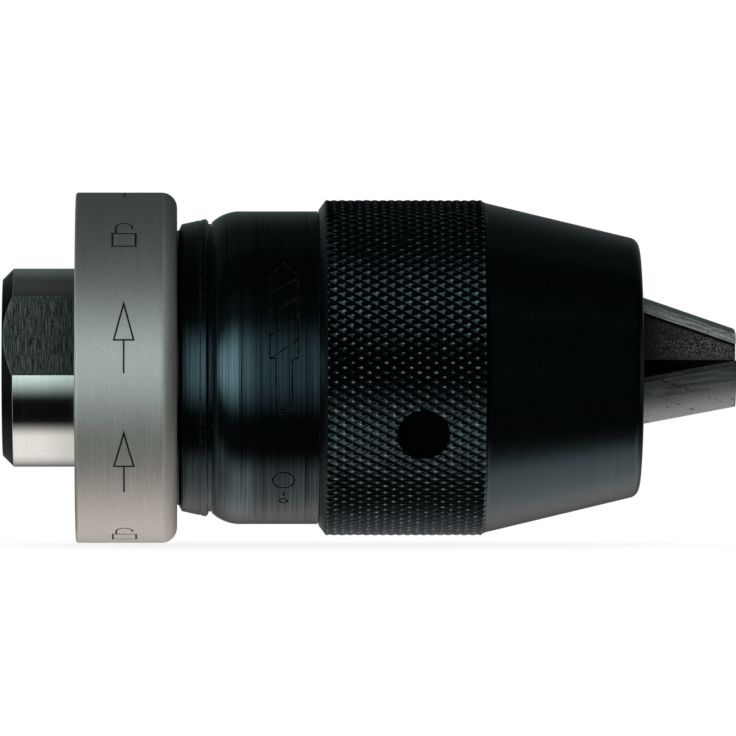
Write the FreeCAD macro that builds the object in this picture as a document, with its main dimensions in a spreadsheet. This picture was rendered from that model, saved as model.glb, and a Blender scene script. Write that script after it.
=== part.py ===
import FreeCAD, Part
import math
import os

import Sketcher

# Keyless drill chuck with a release ring.
#
# The chuck axis is X. The origin is the centre of the hub's rear face, and the jaws point along +X.
# The jaws are closed at rest. A "facing" angle is measured about X from -Y towards +Z, so 0 faces the
# front, 90 faces up and -90 faces down.
#
# How it works: turning the clamping sleeve turns the jaw guide, the jaws and the feed screw with it.
# The feed screw has a left-hand thread in the chuck body, so it moves along X as it turns, and its
# T-slots push or pull the three jaws along the cone of the clamping sleeve. A ball thrust bearing takes
# the clamping force. The release ring lets two pawls into a toothed ring, or lifts them out of it.

# Driving dimensions in millimetres, angles in degrees.
SIZES = {
    "hub_radius": (12.7, "outside of the rear hub"),
    "hub_chamfer": (1.4, "45 degree chamfer at the hub's rear face"),
    "flat_spacing": (23.0, "across the two wrench flats"),
    "flat_length": (15.2, "length of the wrench flats from the rear face"),
    "flat_facing": (20.7, "facing angle of one wrench flat"),
    "thread_radius": (5.75, "bore for the 1/2-20 spindle thread, at the crests"),
    "thread_depth": (16.6, "depth of the spindle bore"),
    "thread_sink": (0.95, "countersink at the mouth of the spindle bore"),
    "screw_hole_radius": (3.3, "clearance hole for the spindle's retaining screw"),
    "feed_bore_start": (19.6, "bottom of the feed screw's bore"),
    "feed_bore_radius": (8.05, "feed screw's bore in the body"),
    "boss_radius": (12.0, "front boss that holds the feed screw's bore"),
    "body_front": (41.6, "front face of the boss"),
    "flange_radius": (16.9, "thrust flange of the body"),
    "flange_start": (30.1, "rear face of the thrust flange"),
    "flange_width": (4.1, "width of the thrust flange"),
    "clip_start": (9.73, "rear wall of the circlip groove"),
    "clip_groove_width": (1.27, "width of the circlip groove"),
    "clip_groove_radius": (11.9, "bottom of the circlip groove"),
    "clip_width": (1.17, "thickness of the circlip"),
    "clip_radius": (14.4, "outside of the circlip"),
    "clip_gap": (5.2, "gap between the circlip's two eyes"),
    "clip_eye": (2.0, "radius of the circlip's eyes"),
    "ring_start": (9.35, "rear face of the release ring"),
    "ring_width": (12.95, "width of the release ring"),
    "ring_radius": (22.45, "outside of the release ring"),
    "ring_cavity": (20.3, "inside wall of the release ring"),
    "ring_recess": (17.6, "radius of the recess in the ring's rear face"),
    "ring_web_start": (11.0, "rear face of the ring's web"),
    "ring_web_width": (1.65, "thickness of the ring's web"),
    "ring_front_round": (2.0, "rounding of the ring's front edge"),
    "ring_rear_round": (0.35, "rounding of the ring's rear edge"),
    "ring_turn": (18.0, "turn of the ring from open to locked"),
    "mark_depth": (0.15, "depth of the engraved marks"),
    "mark_line": (0.23, "width of the engraved lines"),
    "ring_mark_place": (15.6, "place of the marks on the release ring"),
    "arrow_length": (9.4, "arrow on the release ring, from foot to tip"),
    "arrow_head": (5.3, "length of the arrow's head"),
    "arrow_half": (1.4, "half the width of the arrow's head"),
    "lock_half": (1.6, "half the width of the padlock mark"),
    "lock_height": (2.6, "height of the padlock's case"),
    "shackle_radius": (1.15, "outside of the padlock's shackle"),
    "shackle_rise": (1.2, "height of the shackle's bend above the case"),
    "sleeve_mark_place": (35.8, "place of the marks on the rear sleeve"),
    "drill_length": (20.0, "length of the drill mark"),
    "drill_half": (1.9, "half the width of the drill mark's body"),
    "drill_shank_half": (1.15, "half the width of the drill mark's shank"),
    "drill_shank_length": (6.5, "length of the drill mark's shank"),
    "drill_point": (2.2, "length of the drill mark's point"),
    "lug_radius": (19.05, "inside of the ring's two lugs"),
    "cover_radius": (17.8, "inside of the ring's front cover"),
    "cover_start": (21.2, "rear face of the ring's front cover"),
    "cover_width": (1.0, "thickness of the ring's front cover"),
    "carrier_start": (12.8, "rear face of the pawl carrier"),
    "carrier_width": (2.4, "thickness of the pawl carrier"),
    "carrier_radius": (18.8, "outside of the pawl carrier"),
    "pawl_start": (15.4, "rear face of the pawls"),
    "pawl_width": (4.2, "thickness of the pawls"),
    "pivot_radius": (17.5, "radius of the circle that the pawl pins stand on"),
    "pivot_angle": (42.0, "from the stopped tooth flank to the pawl's pin"),
    "pawl_lift": (4.5, "turn of a pawl from locked to lifted"),
    "pin_radius": (1.2, "pawl pins"),
    "stop_radius": (1.0, "stop pin"),
    "stop_circle": (16.0, "radius of the circle that the stop pin stands on"),
    "stop_angle": (130.0, "place of the stop pin, from the stopped tooth flank"),
    "stop_slot_play": (0.4, "play of the stop pin at each end of its slot"),
    "spring_thickness": (0.3, "leaf springs of the pawls"),
    "post_radius": (18.4, "outside of the posts that hold the leaf springs"),
    "tooth_count": (30, "teeth of the toothed ring"),
    "tooth_tip": (15.3, "tip radius of the teeth"),
    "tooth_root": (14.4, "root radius of the teeth"),
    "tooth_ring_start": (15.4, "rear face of the toothed ring"),
    "tooth_ring_width": (5.8, "width of the toothed ring"),
    "tooth_ring_seat": (14.2, "radius of the toothed ring's seat in the nut"),
    "tooth_ring_seat_width": (2.3, "width of that seat"),
    "nut_start": (21.3, "rear face of the bearing nut"),
    "nut_rear_radius": (17.6, "rear of the bearing nut, inside the ring's cover"),
    "nut_edge_start": (22.5, "where the nut's visible edge starts"),
    "nut_edge_radius": (18.4, "end of that edge"),
    "nut_large_radius": (19.07, "largest radius of the nut"),
    "nut_front": (26.3, "front of the nut's visible part, at the groove"),
    "nut_line": (25.25, "place of the fine line turned into the nut"),
    "nut_line_size": (0.09, "radius of that line's section"),
    "groove_radius": (18.45, "bottom of the groove between nut and rear sleeve"),
    "groove_width": (0.42, "width of that groove"),
    "skirt_radius": (17.2, "threaded skirt of the nut"),
    "skirt_end": (29.8, "front end of the nut's skirt"),
    "race_radius": (16.1, "outside of the bearing races"),
    "race_width": (1.0, "thickness of the bearing races"),
    "rear_race_start": (25.9, "rear face of the rear race"),
    "ball_radius": (1.25, "bearing balls"),
    "ball_circle": (14.5, "pitch radius of the bearing"),
    "ball_count": (24, "bearing balls"),
    "ball_place": (28.0, "place of the ball centres along X"),
    "cage_width": (1.4, "thickness of the ball cage"),
    "cage_height": (3.1, "radial height of the ball cage"),
    "sleeve_radius": (20.05, "outside of the rear sleeve"),
    "sleeve_rear_radius": (18.65, "rear sleeve at the groove"),
    "sleeve_curve": (5.43, "radius of the rear sleeve's rounded end"),
    "sleeve_curve_end": (30.0, "where that rounding meets the cylinder"),
    "sleeve_shoulder": (34.4, "shoulder in front of the thrust flange"),
    "spigot_radius": (18.15, "threaded front spigot of the rear sleeve"),
    "spigot_bore": (16.0, "bore of the front spigot"),
    "spigot_end": (50.6, "front end of the spigot"),
    "hood_start": (40.4, "rear face of the clamping sleeve"),
    "hood_rear_radius": (20.2, "clamping sleeve at its rear face"),
    "hood_radius": (21.5, "clamping sleeve over the knurling"),
    "hood_chamfer": (0.95, "length of the rear chamfer"),
    "knurl_end": (61.25, "front end of the knurling"),
    "cone_start": (61.7, "where the outer cone starts"),
    "cone_radius": (21.15, "start radius of the outer cone"),
    "cone_angle": (13.45, "half angle of the outer cone"),
    "nose_round": (1.4, "rounding of the nose"),
    "mouth_place": (81.47, "front face of the clamping sleeve"),
    "mouth_radius": (9.22, "radius of the jaw cone at the front face"),
    "mouth_chamfer": (0.4, "chamfer of the mouth"),
    "hood_bore": (18.2, "threaded bore of the clamping sleeve"),
    "wrench_hole_radius": (3.35, "holes for a hook wrench"),
    "wrench_hole_depth": (2.5, "depth of those holes"),
    "wrench_hole_place": (53.4, "place of those holes along X"),
    "wrench_hole_facing": (-23.5, "facing angle of one hook wrench hole"),
    "jaw_angle": (19.0, "angle between a jaw's travel and the axis"),
    "jaw_tip": (93.8, "front end of the closed jaws"),
    "jaw_facing": (-32.2, "facing angle of the first jaw"),
    "wing_start": (69.95, "rear end of a closed jaw's wings"),
    "wing_width": (6.2, "width over a jaw's wings"),
    "wing_depth": (1.83, "radial depth of the wings below the jaw's crest"),
    "web_width": (3.6, "width of a jaw's web"),
    "crown_radius": (9.5, "rounding of a jaw's back"),
    "jaw_land": (0.2, "height of the gripping land above the axis"),
    "jaw_gap": (0.035, "gap between the closed jaws' faces and their meeting planes"),
    "jaw_tip_round": (0.4, "rounding of a jaw's front outer edge"),
    "tail_start": (62.8, "rear end of a closed jaw's gripping edge"),
    "tail_radius": (10.6, "outside of a closed jaw's tail"),
    "foot_start": (58.05, "rear face of a closed jaw's foot"),
    "foot_depth": (2.4, "thickness of the foot"),
    "foot_inner": (2.3, "inner end of a closed jaw's foot"),
    "foot_outer": (8.3, "outer end of a closed jaw's foot"),
    "foot_width": (6.0, "width of the foot"),
    "guide_start": (50.8, "rear face of the jaw guide"),
    "guide_ring_end": (55.1, "front face of the guide's closed ring"),
    "guide_ring_radius": (18.1, "outside of the guide's ring"),
    "guide_ring_bore": (15.95, "bore of the guide's ring"),
    "guide_cavity": (13.9, "bore around the feed screw's head"),
    "guide_cavity_end": (63.0, "front end of that bore"),
    "guide_bore": (5.4, "front bore, wide enough for a 10 mm shank"),
    "guide_front": (81.3, "front face of the guide"),
    "slot_play": (0.05, "play of a jaw in its slots, on each side"),
    "fit_play": (0.03, "play between parts that fit together"),
    "dowel_radius": (0.6, "dowels between the rear sleeve and the guide"),
    "dowel_circle": (17.05, "radius of the circle that the dowels stand on"),
    "dowel_start": (47.6, "rear end of the dowels"),
    "dowel_length": (5.4, "length of the dowels"),
    "screw_radius": (8.0, "feed screw's shank"),
    "screw_start": (34.6, "rear end of the closed feed screw"),
    "screw_bore": (3.6, "hole through the feed screw"),
    "head_start": (56.4, "rear face of the feed screw's head"),
    "head_end": (62.6, "front face of the feed screw's head"),
    "head_radius": (13.6, "outside of the feed screw's head"),
    "head_lip": (60.5, "rear face of the lip that holds the jaws' feet"),
    "head_slot": (58.0, "bottom of the T-slots"),
}

JAW_COUNT = 3
PAWL_COUNT = 2
WRENCH_HOLE_COUNT = 2
OVERCUT = 4.0

# A pawl's outline when it is locked, as radius from the chuck axis and angle from the tooth flank.
PAWL_OUTLINE = [
    (14.62, 0.6),
    (16.6, 0.6),
    (17.4, 8.0),
    (18.3, 20.0),
    (19.2, 34.0),
    (19.4, 42.0),
    (19.3, 48.0),
    (19.1, 56.0),
    (16.6, 56.0),
    (16.0, 50.0),
    (15.7, 34.0),
    (15.7, 20.0),
    (15.6, 8.0),
    (14.95, 5.5),
]
# A leaf spring's inner side, as radius and angle from the tooth flank.
SPRING_INNER = [(15.8, 54.0), (16.22, 62.0), (16.42, 70.0), (16.42, 79.0)]
# Facing angles of the marks.
ARROW_FACINGS = (-32.4, 10.2)
PADLOCK_FACING = 49.5
DRILL_FACING = 13.0
CAPACITY_FACING = -50.0
RING_MARK_REPEATS = 3
SLEEVE_MARK_REPEATS = 2
FLUTE_COUNT = 4
LUG_ANGLES = (53.0, 63.0)
POST_ANGLES = (71.0, 79.0)
POST_INNER = 16.8


class Size:
    """A number together with the spreadsheet expression that gives it."""

    def __init__(self, value, text):
        self.value = float(value)
        self.text = text

    def _join(self, other, sign, value):
        return Size(value, f"({self.text} {sign} {size(other).text})")

    def __add__(self, other):
        return self._join(other, "+", self.value + size(other).value)

    def __sub__(self, other):
        return self._join(other, "-", self.value - size(other).value)

    def __mul__(self, other):
        return self._join(other, "*", self.value * size(other).value)

    def __truediv__(self, other):
        return self._join(other, "/", self.value / size(other).value)

    def __rsub__(self, other):
        return size(other) - self

    def __radd__(self, other):
        return size(other) + self

    def __rmul__(self, other):
        return size(other) * self

    def __neg__(self):
        return Size(-self.value, f"(0 - {self.text})")


def size(number):
    """A plain number as a Size; a Size stays as it is."""
    return number if isinstance(number, Size) else Size(number, repr(float(number)))


def sine(angle):
    angle = size(angle)
    return Size(math.sin(math.radians(angle.value)), f"sin({angle.text})")


def cosine(angle):
    angle = size(angle)
    return Size(math.cos(math.radians(angle.value)), f"cos({angle.text})")


def tangent(angle):
    angle = size(angle)
    return Size(math.tan(math.radians(angle.value)), f"tan({angle.text})")


class Sheet:
    """The document's spreadsheet. Each driving dimension is an attribute that gives a Size."""

    def __init__(self, document):
        sheet = document.addObject("Spreadsheet::Sheet", "Sizes")
        for row, (alias, (value, note)) in enumerate(SIZES.items(), start=1):
            sheet.set(f"A{row}", note)
            sheet.set(f"B{row}", str(value))
            sheet.setAlias(f"B{row}", alias)
        document.recompute()

    def __getattr__(self, alias):
        return Size(SIZES[alias][0], f"Sizes.{alias}")


doc = FreeCAD.newDocument("DrillChuck")
S = Sheet(doc)
finished = []


# Helpers for sketches and features


def polar(radius, angle):
    """A point of a sketch on the YZ plane from its radius and its angle about X."""
    return (size(radius) * cosine(angle), size(radius) * sine(angle))


def new_body(label):
    body = doc.addObject("PartDesign::Body", label)
    body.Label = label
    return body


def new_sketch(body, role, tag, along=None, lift=None, tilt=None):
    """A sketch on one of the body's origin planes, moved along the plane's normal or its own y axis."""
    plane = next(item for item in body.Origin.OriginFeatures if item.Role == role)
    sketch = body.newObject("Sketcher::SketchObject", f"{body.Label}_{tag}")
    sketch.AttachmentSupport = [(plane, "")]
    sketch.MapMode = "FlatFace"
    if tilt is not None:
        turn = FreeCAD.Rotation(FreeCAD.Vector(1, 0, 0), tilt.value)
        sketch.AttachmentOffset = FreeCAD.Placement(FreeCAD.Vector(), turn)
        sketch.setExpression("AttachmentOffset.Rotation.Angle", tilt.text)
    if along is not None:
        sketch.setExpression("AttachmentOffset.Base.z", size(along).text)
    if lift is not None:
        sketch.setExpression("AttachmentOffset.Base.y", size(lift).text)
    return sketch


def hold(sketch, kind, geometry, vertex, value, name):
    """Holds one coordinate of a point at a Size. A zero coordinate is held by the sketch's axis."""
    if abs(value.value) < 1e-9:
        axis = -2 if kind == "DistanceX" else -1
        sketch.addConstraint(Sketcher.Constraint("PointOnObject", geometry, vertex, axis))
        return
    index = sketch.addConstraint(Sketcher.Constraint(kind, -1, 1, geometry, vertex, value.value))
    sketch.renameConstraint(index, name)
    sketch.setExpression(f"Constraints.{name}", value.text)


def arc_centre(start, end, radius):
    """Centre of the arc from start to end. A positive radius puts it left of the line between them."""
    middle = (start + end) / 2
    chord = end - start
    reach = math.sqrt(max(radius * radius - chord.Length**2 / 4, 0.0))
    left = FreeCAD.Vector(-chord.y, chord.x, 0).normalize()
    return middle + left * math.copysign(reach, radius)


def outline(sketch, points, arcs=None):
    """A closed outline through (x, y) points. arcs maps a side's number to its radius: positive turns
    anticlockwise along the outline, negative clockwise."""
    arcs = arcs or {}
    first = sketch.GeometryCount
    places = [FreeCAD.Vector(size(x).value, size(y).value, 0) for x, y in points]
    count = len(points)
    ends = []
    for side, start in enumerate(places):
        end = places[(side + 1) % count]
        if side not in arcs:
            sketch.addGeometry(Part.LineSegment(start, end), False)
            ends.append((1, 2))
            continue
        radius = arcs[side]
        centre = arc_centre(start, end, radius.value)
        circle = Part.Circle(centre, FreeCAD.Vector(0, 0, 1), abs(radius.value))
        from_angle = math.atan2(start.y - centre.y, start.x - centre.x)
        to_angle = math.atan2(end.y - centre.y, end.x - centre.x)
        if radius.value > 0:
            sketch.addGeometry(Part.ArcOfCircle(circle, from_angle, to_angle), False)
            ends.append((1, 2))
        else:
            sketch.addGeometry(Part.ArcOfCircle(circle, to_angle, from_angle), False)
            ends.append((2, 1))
    for side in range(count):
        after = (side + 1) % count
        joined = Sketcher.Constraint(
            "Coincident", first + side, ends[side][1], first + after, ends[after][0]
        )
        sketch.addConstraint(joined)
    for side, (x, y) in enumerate(points):
        hold(sketch, "DistanceX", first + side, ends[side][0], size(x), f"x{first + side}")
        hold(sketch, "DistanceY", first + side, ends[side][0], size(y), f"y{first + side}")
    for side, radius in arcs.items():
        bend = Sketcher.Constraint("Radius", first + side, abs(radius.value))
        index = sketch.addConstraint(bend)
        sketch.renameConstraint(index, f"bend{first + side}")
        text = radius.text if radius.value > 0 else (-radius).text
        sketch.setExpression(f"Constraints.bend{first + side}", text)


def round_outline(sketch, x, y, radius):
    """A circle in a sketch."""
    x, y, radius = size(x), size(y), size(radius)
    centre = FreeCAD.Vector(x.value, y.value, 0)
    circle = Part.Circle(centre, FreeCAD.Vector(0, 0, 1), radius.value)
    number = sketch.addGeometry(circle, False)
    hold(sketch, "DistanceX", number, 3, x, f"x{number}")
    hold(sketch, "DistanceY", number, 3, y, f"y{number}")
    index = sketch.addConstraint(Sketcher.Constraint("Radius", number, radius.value))
    sketch.renameConstraint(index, f"r{number}")
    sketch.setExpression(f"Constraints.r{number}", radius.text)


def rectangle(low_x, low_y, high_x, high_y):
    return [(low_x, low_y), (high_x, low_y), (high_x, high_y), (low_x, high_y)]


def require_change(body, before, tag):
    """Stops when a feature left the body's volume as it was, which means that it cut or added nothing."""
    doc.recompute()
    after = body.Shape.Volume
    if body.Shape.isNull() or after < 1e-3 or abs(after - before) < 1e-3:
        raise RuntimeError(f"{body.Label}: feature {tag} changed nothing or left nothing")


def volume_of(body):
    return body.Shape.Volume if body.Tip is not None and not body.Shape.isNull() else 0.0


def revolve(body, tag, points, arcs=None, kind="Revolution"):
    """Turns an outline of (place along X, radius) points about X, to add or to cut."""
    before = volume_of(body)
    sketch = new_sketch(body, "XZ_Plane", tag)
    outline(sketch, points, arcs)
    feature = body.newObject(f"PartDesign::{kind}", f"{body.Label}_{tag}_turned")
    feature.Profile = (sketch, [""])
    feature.ReferenceAxis = (sketch, ["H_Axis"])
    feature.Angle = 360
    sketch.Visibility = False
    require_change(body, before, tag)
    return feature


def turned_groove(body, tag, place, height, radius):
    """Cuts a round groove about X with a circular section."""
    before = volume_of(body)
    sketch = new_sketch(body, "XZ_Plane", tag)
    round_outline(sketch, place, height, radius)
    feature = body.newObject("PartDesign::Groove", f"{body.Label}_{tag}_turned")
    feature.Profile = (sketch, [""])
    feature.ReferenceAxis = (sketch, ["H_Axis"])
    feature.Angle = 360
    require_change(body, before, tag)


def extrude(body, sketch, length, kind, symmetric=False, reverse=False):
    """Pads or pockets a sketch by a length."""
    before = volume_of(body)
    feature = body.newObject(f"PartDesign::{kind}", f"{sketch.Name}_{kind.lower()}")
    feature.Profile = (sketch, [""])
    feature.Type = "Length"
    feature.Length = size(length).value
    feature.setExpression("Length", size(length).text)
    feature.SideType = "Symmetric" if symmetric else "One side"
    feature.Reversed = reverse
    sketch.Visibility = False
    require_change(body, before, feature.Name)
    return feature


def pattern(body, features, count):
    """Repeats features evenly about the chuck axis."""
    before = volume_of(body)
    axis = next(item for item in body.Origin.OriginFeatures if item.Role == "X_Axis")
    repeated = body.newObject("PartDesign::PolarPattern", f"{features[-1].Name}_all")
    repeated.Originals = features
    repeated.Axis = (axis, [""])
    repeated.Angle = 360
    repeated.Occurrences = count
    body.Tip = repeated
    require_change(body, before, repeated.Name)


def edges_at(shape, place, radius):
    """Names of the circular edges about X at a place along X, with a radius."""
    names = []
    for number, edge in enumerate(shape.Edges, start=1):
        curve = edge.Curve
        if not isinstance(curve, Part.Circle) or abs(curve.Axis.x) < 0.99:
            continue
        off_axis = math.hypot(curve.Center.y, curve.Center.z)
        if off_axis < 1e-4 and abs(curve.Center.x - place) < 1e-3:
            if abs(curve.Radius - radius) < 1e-3:
                names.append(f"Edge{number}")
    return names


def fillet(body, place, edge_radius, round_radius):
    """Rounds the body's circular edge at a place along X."""
    before = volume_of(body)
    base = body.Tip
    names = edges_at(base.Shape, size(place).value, size(edge_radius).value)
    if not names:
        raise RuntimeError(f"{body.Label}: no edge to round")
    feature = body.newObject("PartDesign::Fillet", f"{body.Label}_round")
    feature.Base = (base, names)
    feature.Radius = round_radius.value
    feature.setExpression("Radius", round_radius.text)
    require_change(body, before, feature.Name)


def facing(angle):
    """The placement that turns a part's own +Z to a facing angle."""
    turn = 90.0 - size(angle).value
    return FreeCAD.Placement(FreeCAD.Vector(), FreeCAD.Rotation(FreeCAD.Vector(1, 0, 0), turn))


def finish(item, placement=None):
    """Places a finished sub-part and lists it for export."""
    doc.recompute()
    if placement is not None:
        item.Placement = placement
    finished.append(item)
    return item


def bar(name, radius, length, start, circle=0.0, angle=0.0):
    """A cylinder along X whose axis stands on a circle about the chuck axis."""
    item = doc.addObject("Part::Cylinder", name)
    item.setExpression("Radius", size(radius).text)
    item.setExpression("Height", size(length).text)
    y, z = polar(circle, angle)
    turn = FreeCAD.Rotation(FreeCAD.Vector(0, 1, 0), 90)
    item.Placement = FreeCAD.Placement(FreeCAD.Vector(size(start).value, y.value, z.value), turn)
    item.setExpression("Placement.Base.x", size(start).text)
    item.setExpression("Placement.Base.y", y.text)
    item.setExpression("Placement.Base.z", z.text)
    return item


def group(label, items, placement=None):
    """Several equal solids as one sub-part."""
    compound = doc.addObject("Part::Compound", label)
    compound.Label = label
    compound.Links = items
    return finish(compound, placement)


# Engraved marks. Their outlines are drawn as (across, up) on the unrolled surface, about the mark's centre.


class Engraving:
    """Marks to be cut into a cylinder about the chuck axis, collected in a body of their own. They are
    drawn in the target's own frame, whose +Z is placed at the target's facing angle."""

    def __init__(self, label, place, radius, target_facing):
        self.body = new_body(label)
        self.target_facing = size(target_facing)
        self.place = place
        self.radius = radius
        self.pads = []

    def add(self, tag, angle, *outlines, arcs=None):
        """Adds closed outlines at a facing angle. An outline inside another one stays uncut."""
        sketch = new_sketch(self.body, "XY_Plane", tag, tilt=self.target_facing - angle)
        for points in outlines:
            wrapped = []
            for across, up in points:
                turn = size(up) / self.radius * 57.29578
                wrapped.append((self.place + across, self.radius * sine(turn)))
            outline(sketch, wrapped, arcs)
        self.pads.append(extrude(self.body, sketch, self.radius + 1.0, "Pad"))

    def add_circles(self, tag, angle, up, radius):
        """Adds an engraved circle."""
        sketch = new_sketch(self.body, "XY_Plane", tag, tilt=self.target_facing - angle)
        round_outline(sketch, self.place, up, radius)
        round_outline(sketch, self.place, up, radius - S.mark_line)
        self.pads.append(extrude(self.body, sketch, self.radius + 1.0, "Pad"))

    def cut_from(self, target, repeats):
        """Repeats the marks about the axis and cuts them from the target, to the marks' depth."""
        pattern(self.body, self.pads, repeats)
        core = new_sketch(self.body, "YZ_Plane", "core")
        round_outline(core, 0, 0, self.radius - S.mark_depth)
        extrude(self.body, core, S.jaw_tip, "Pocket", reverse=True)
        before = volume_of(target)
        cut = target.newObject("PartDesign::Boolean", f"{target.Label}_marks")
        cut.Type = "Cut"
        cut.setObjects([self.body])
        target.Tip = cut
        require_change(target, before, "marks")


def arrow_outlines():
    """An open arrow head on a thin stem: its outside and the triangle that stays inside."""
    tip = S.arrow_length / 2
    base = tip - S.arrow_head
    line = S.mark_line
    half_line = line / 2
    slant = math.hypot(S.arrow_half.value, S.arrow_head.value)
    side_step = line * (slant / S.arrow_head.value)
    tip_step = line * (slant / S.arrow_half.value)
    corner = S.arrow_half - line * S.arrow_half / S.arrow_head - side_step
    outside = [
        (0, tip),
        (-S.arrow_half, base),
        (-half_line, base),
        (-half_line, -tip),
        (half_line, -tip),
        (half_line, base),
        (S.arrow_half, base),
    ]
    inside = [(0, tip - tip_step), (-corner, base + line), (corner, base + line)]
    return outside, inside


def ring_marks():
    """Arrows that point to the open side, and an open padlock, three times round the ring."""
    marks = Engraving("ring_marks", S.ring_mark_place, S.ring_radius, S.flat_facing)
    for number, angle in enumerate(ARROW_FACINGS):
        marks.add(f"arrow_{number}", angle, *arrow_outlines())
    line = S.mark_line
    half = S.lock_half
    case = rectangle(-half, -S.lock_height, half, 0)
    inside = rectangle(line - half, line - S.lock_height, half - line, -line)
    marks.add("padlock_case", PADLOCK_FACING, case, inside)
    outer = S.shackle_radius
    inner = outer - line
    rise = S.shackle_rise
    shackle = [
        (-outer, -line / 2),
        (-inner, -line / 2),
        (-inner, rise),
        (inner, rise),
        (inner, rise - 0.4),
        (outer, rise - 0.4),
        (outer, rise),
        (-outer, rise),
    ]
    marks.add("padlock_shackle", PADLOCK_FACING, shackle, arcs={2: -inner * 1.04, 6: outer * 1.03})
    return marks


def sleeve_marks():
    """A plain twist drill, and a small and a large circle for the range of drill sizes."""
    marks = Engraving("sleeve_marks", S.sleeve_mark_place, S.sleeve_radius, S.jaw_facing)
    line = S.mark_line
    end = S.drill_length / 2
    step = S.drill_shank_length - end
    shoulder = end - S.drill_point
    half = S.drill_half
    shank = S.drill_shank_half
    outside = [
        (-shank, -end),
        (shank, -end),
        (shank, step),
        (half, step),
        (half, shoulder),
        (0, end),
        (-half, shoulder),
        (-half, step),
        (-shank, step),
    ]
    inside = [
        (line - shank, line - end),
        (shank - line, line - end),
        (shank - line, step + line),
        (half - line, step + line),
        (half - line, shoulder - line / 2),
        (0, end - line * 1.4),
        (line - half, shoulder - line / 2),
        (line - half, step + line),
        (line - shank, step + line),
    ]
    marks.add("drill", DRILL_FACING, outside, inside)
    span = (shoulder - step) / FLUTE_COUNT
    inner = half - line / 2
    for number in range(FLUTE_COUNT):
        low = step + span * number + line
        high = low + span - line * 3
        flute = [(-inner, low), (-inner, low - line), (inner, high), (inner, high + line)]
        marks.add(f"flute_{number}", DRILL_FACING, flute)
    marks.add_circles("small_size", CAPACITY_FACING, -2.6, size(0.6))
    marks.add("size_dash", CAPACITY_FACING, rectangle(-line / 2, -1.5, line / 2, -0.5))
    marks.add_circles("large_size", CAPACITY_FACING, 1.6, size(1.5))
    return marks


# Places that follow from the driving dimensions

MECHANISM = facing(S.flat_facing)
JAW_FACINGS = [SIZES["jaw_facing"][0] + 360.0 / JAW_COUNT * number for number in range(JAW_COUNT)]


def cone_height(place):
    """Radius of the jaw cone at a place along X."""
    return S.mouth_radius + (S.mouth_place - place) * tangent(S.jaw_angle)


def hood_height(place):
    """Radius of the clamping sleeve's outer cone at a place along X."""
    return S.cone_radius - (place - S.cone_start) * tangent(S.cone_angle)


def triangle_side(longest, other):
    """Third side of a right-angled triangle, from its longest side and one other."""
    value = math.sqrt(longest.value**2 - other.value**2)
    return Size(value, f"sqrt({longest.text}^2 - {other.text}^2)")


# The body and what is fixed to it


def chuck_body():
    """Hub, thrust flange and threaded boss in one turned piece, with two wrench flats."""
    body = new_body("chuck_body")
    flange_end = S.flange_start + S.flange_width
    clip_end = S.clip_start + S.clip_groove_width
    points = [
        (0, S.thread_radius + S.thread_sink),
        (0, S.hub_radius - S.hub_chamfer),
        (S.hub_chamfer, S.hub_radius),
        (S.clip_start, S.hub_radius),
        (S.clip_start, S.clip_groove_radius),
        (clip_end, S.clip_groove_radius),
        (clip_end, S.hub_radius),
        (S.flange_start, S.hub_radius),
        (S.flange_start, S.flange_radius),
        (flange_end, S.flange_radius),
        (flange_end, S.boss_radius),
        (S.body_front, S.boss_radius),
        (S.body_front, S.feed_bore_radius),
        (S.feed_bore_start, S.feed_bore_radius),
        (S.feed_bore_start, S.screw_hole_radius),
        (S.thread_depth, S.screw_hole_radius),
        (S.thread_depth, S.thread_radius),
        (S.thread_sink, S.thread_radius),
    ]
    revolve(body, "profile", points)
    sketch = new_sketch(body, "YZ_Plane", "flats")
    outside = S.hub_radius + OVERCUT
    half = S.flat_spacing / 2
    outline(sketch, rectangle(-outside, half, outside, outside))
    outline(sketch, rectangle(-outside, -outside, outside, -half))
    extrude(body, sketch, S.flat_length, "Pocket", reverse=True)
    finish(body, MECHANISM)


def pawl_carrier():
    """Plate on the hub's flats that carries the pawls, with two posts for their leaf springs."""
    body = new_body("pawl_carrier")
    plate = new_sketch(body, "YZ_Plane", "plate", along=S.carrier_start)
    round_outline(plate, 0, 0, S.carrier_radius)
    high = S.flat_spacing / 2 + S.fit_play
    bore = S.hub_radius + S.fit_play
    wide = triangle_side(bore, high)
    corners = rectangle(-wide, -high, wide, high)
    outline(plate, corners, {1: bore, 3: bore})
    extrude(body, plate, S.carrier_width, "Pad")

    post = new_sketch(body, "YZ_Plane", "post", along=S.carrier_start)
    low, high_angle = POST_ANGLES
    sector = [
        polar(POST_INNER, low),
        polar(S.post_radius, low),
        polar(S.post_radius, high_angle),
        polar(POST_INNER, high_angle),
    ]
    outline(post, sector, {1: S.post_radius, 3: -size(POST_INNER)})
    reach = S.pawl_start + S.pawl_width - S.carrier_start
    posts = extrude(body, post, reach, "Pad")
    pattern(body, [posts], PAWL_COUNT)

    holes = new_sketch(body, "YZ_Plane", "holes", along=S.carrier_start)
    for number in range(PAWL_COUNT):
        y, z = polar(S.pivot_radius, S.pivot_angle + 360.0 / PAWL_COUNT * number)
        round_outline(holes, y, z, S.pin_radius + S.fit_play)
    y, z = polar(S.stop_circle, S.stop_angle)
    round_outline(holes, y, z, S.stop_radius + S.fit_play)
    extrude(body, holes, S.carrier_width, "Pocket", reverse=True)
    finish(body, MECHANISM)


def pawl_pins():
    """Two pins that the pawls turn on."""
    length = S.pawl_start + S.pawl_width - S.carrier_start + 0.6
    pins = []
    for number in range(PAWL_COUNT):
        angle = S.pivot_angle + 360.0 / PAWL_COUNT * number
        pins.append(bar(f"pawl_pin_{number}", S.pin_radius, length, S.carrier_start, S.pivot_radius, angle))
    group("pawl_pins", pins, MECHANISM)


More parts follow.
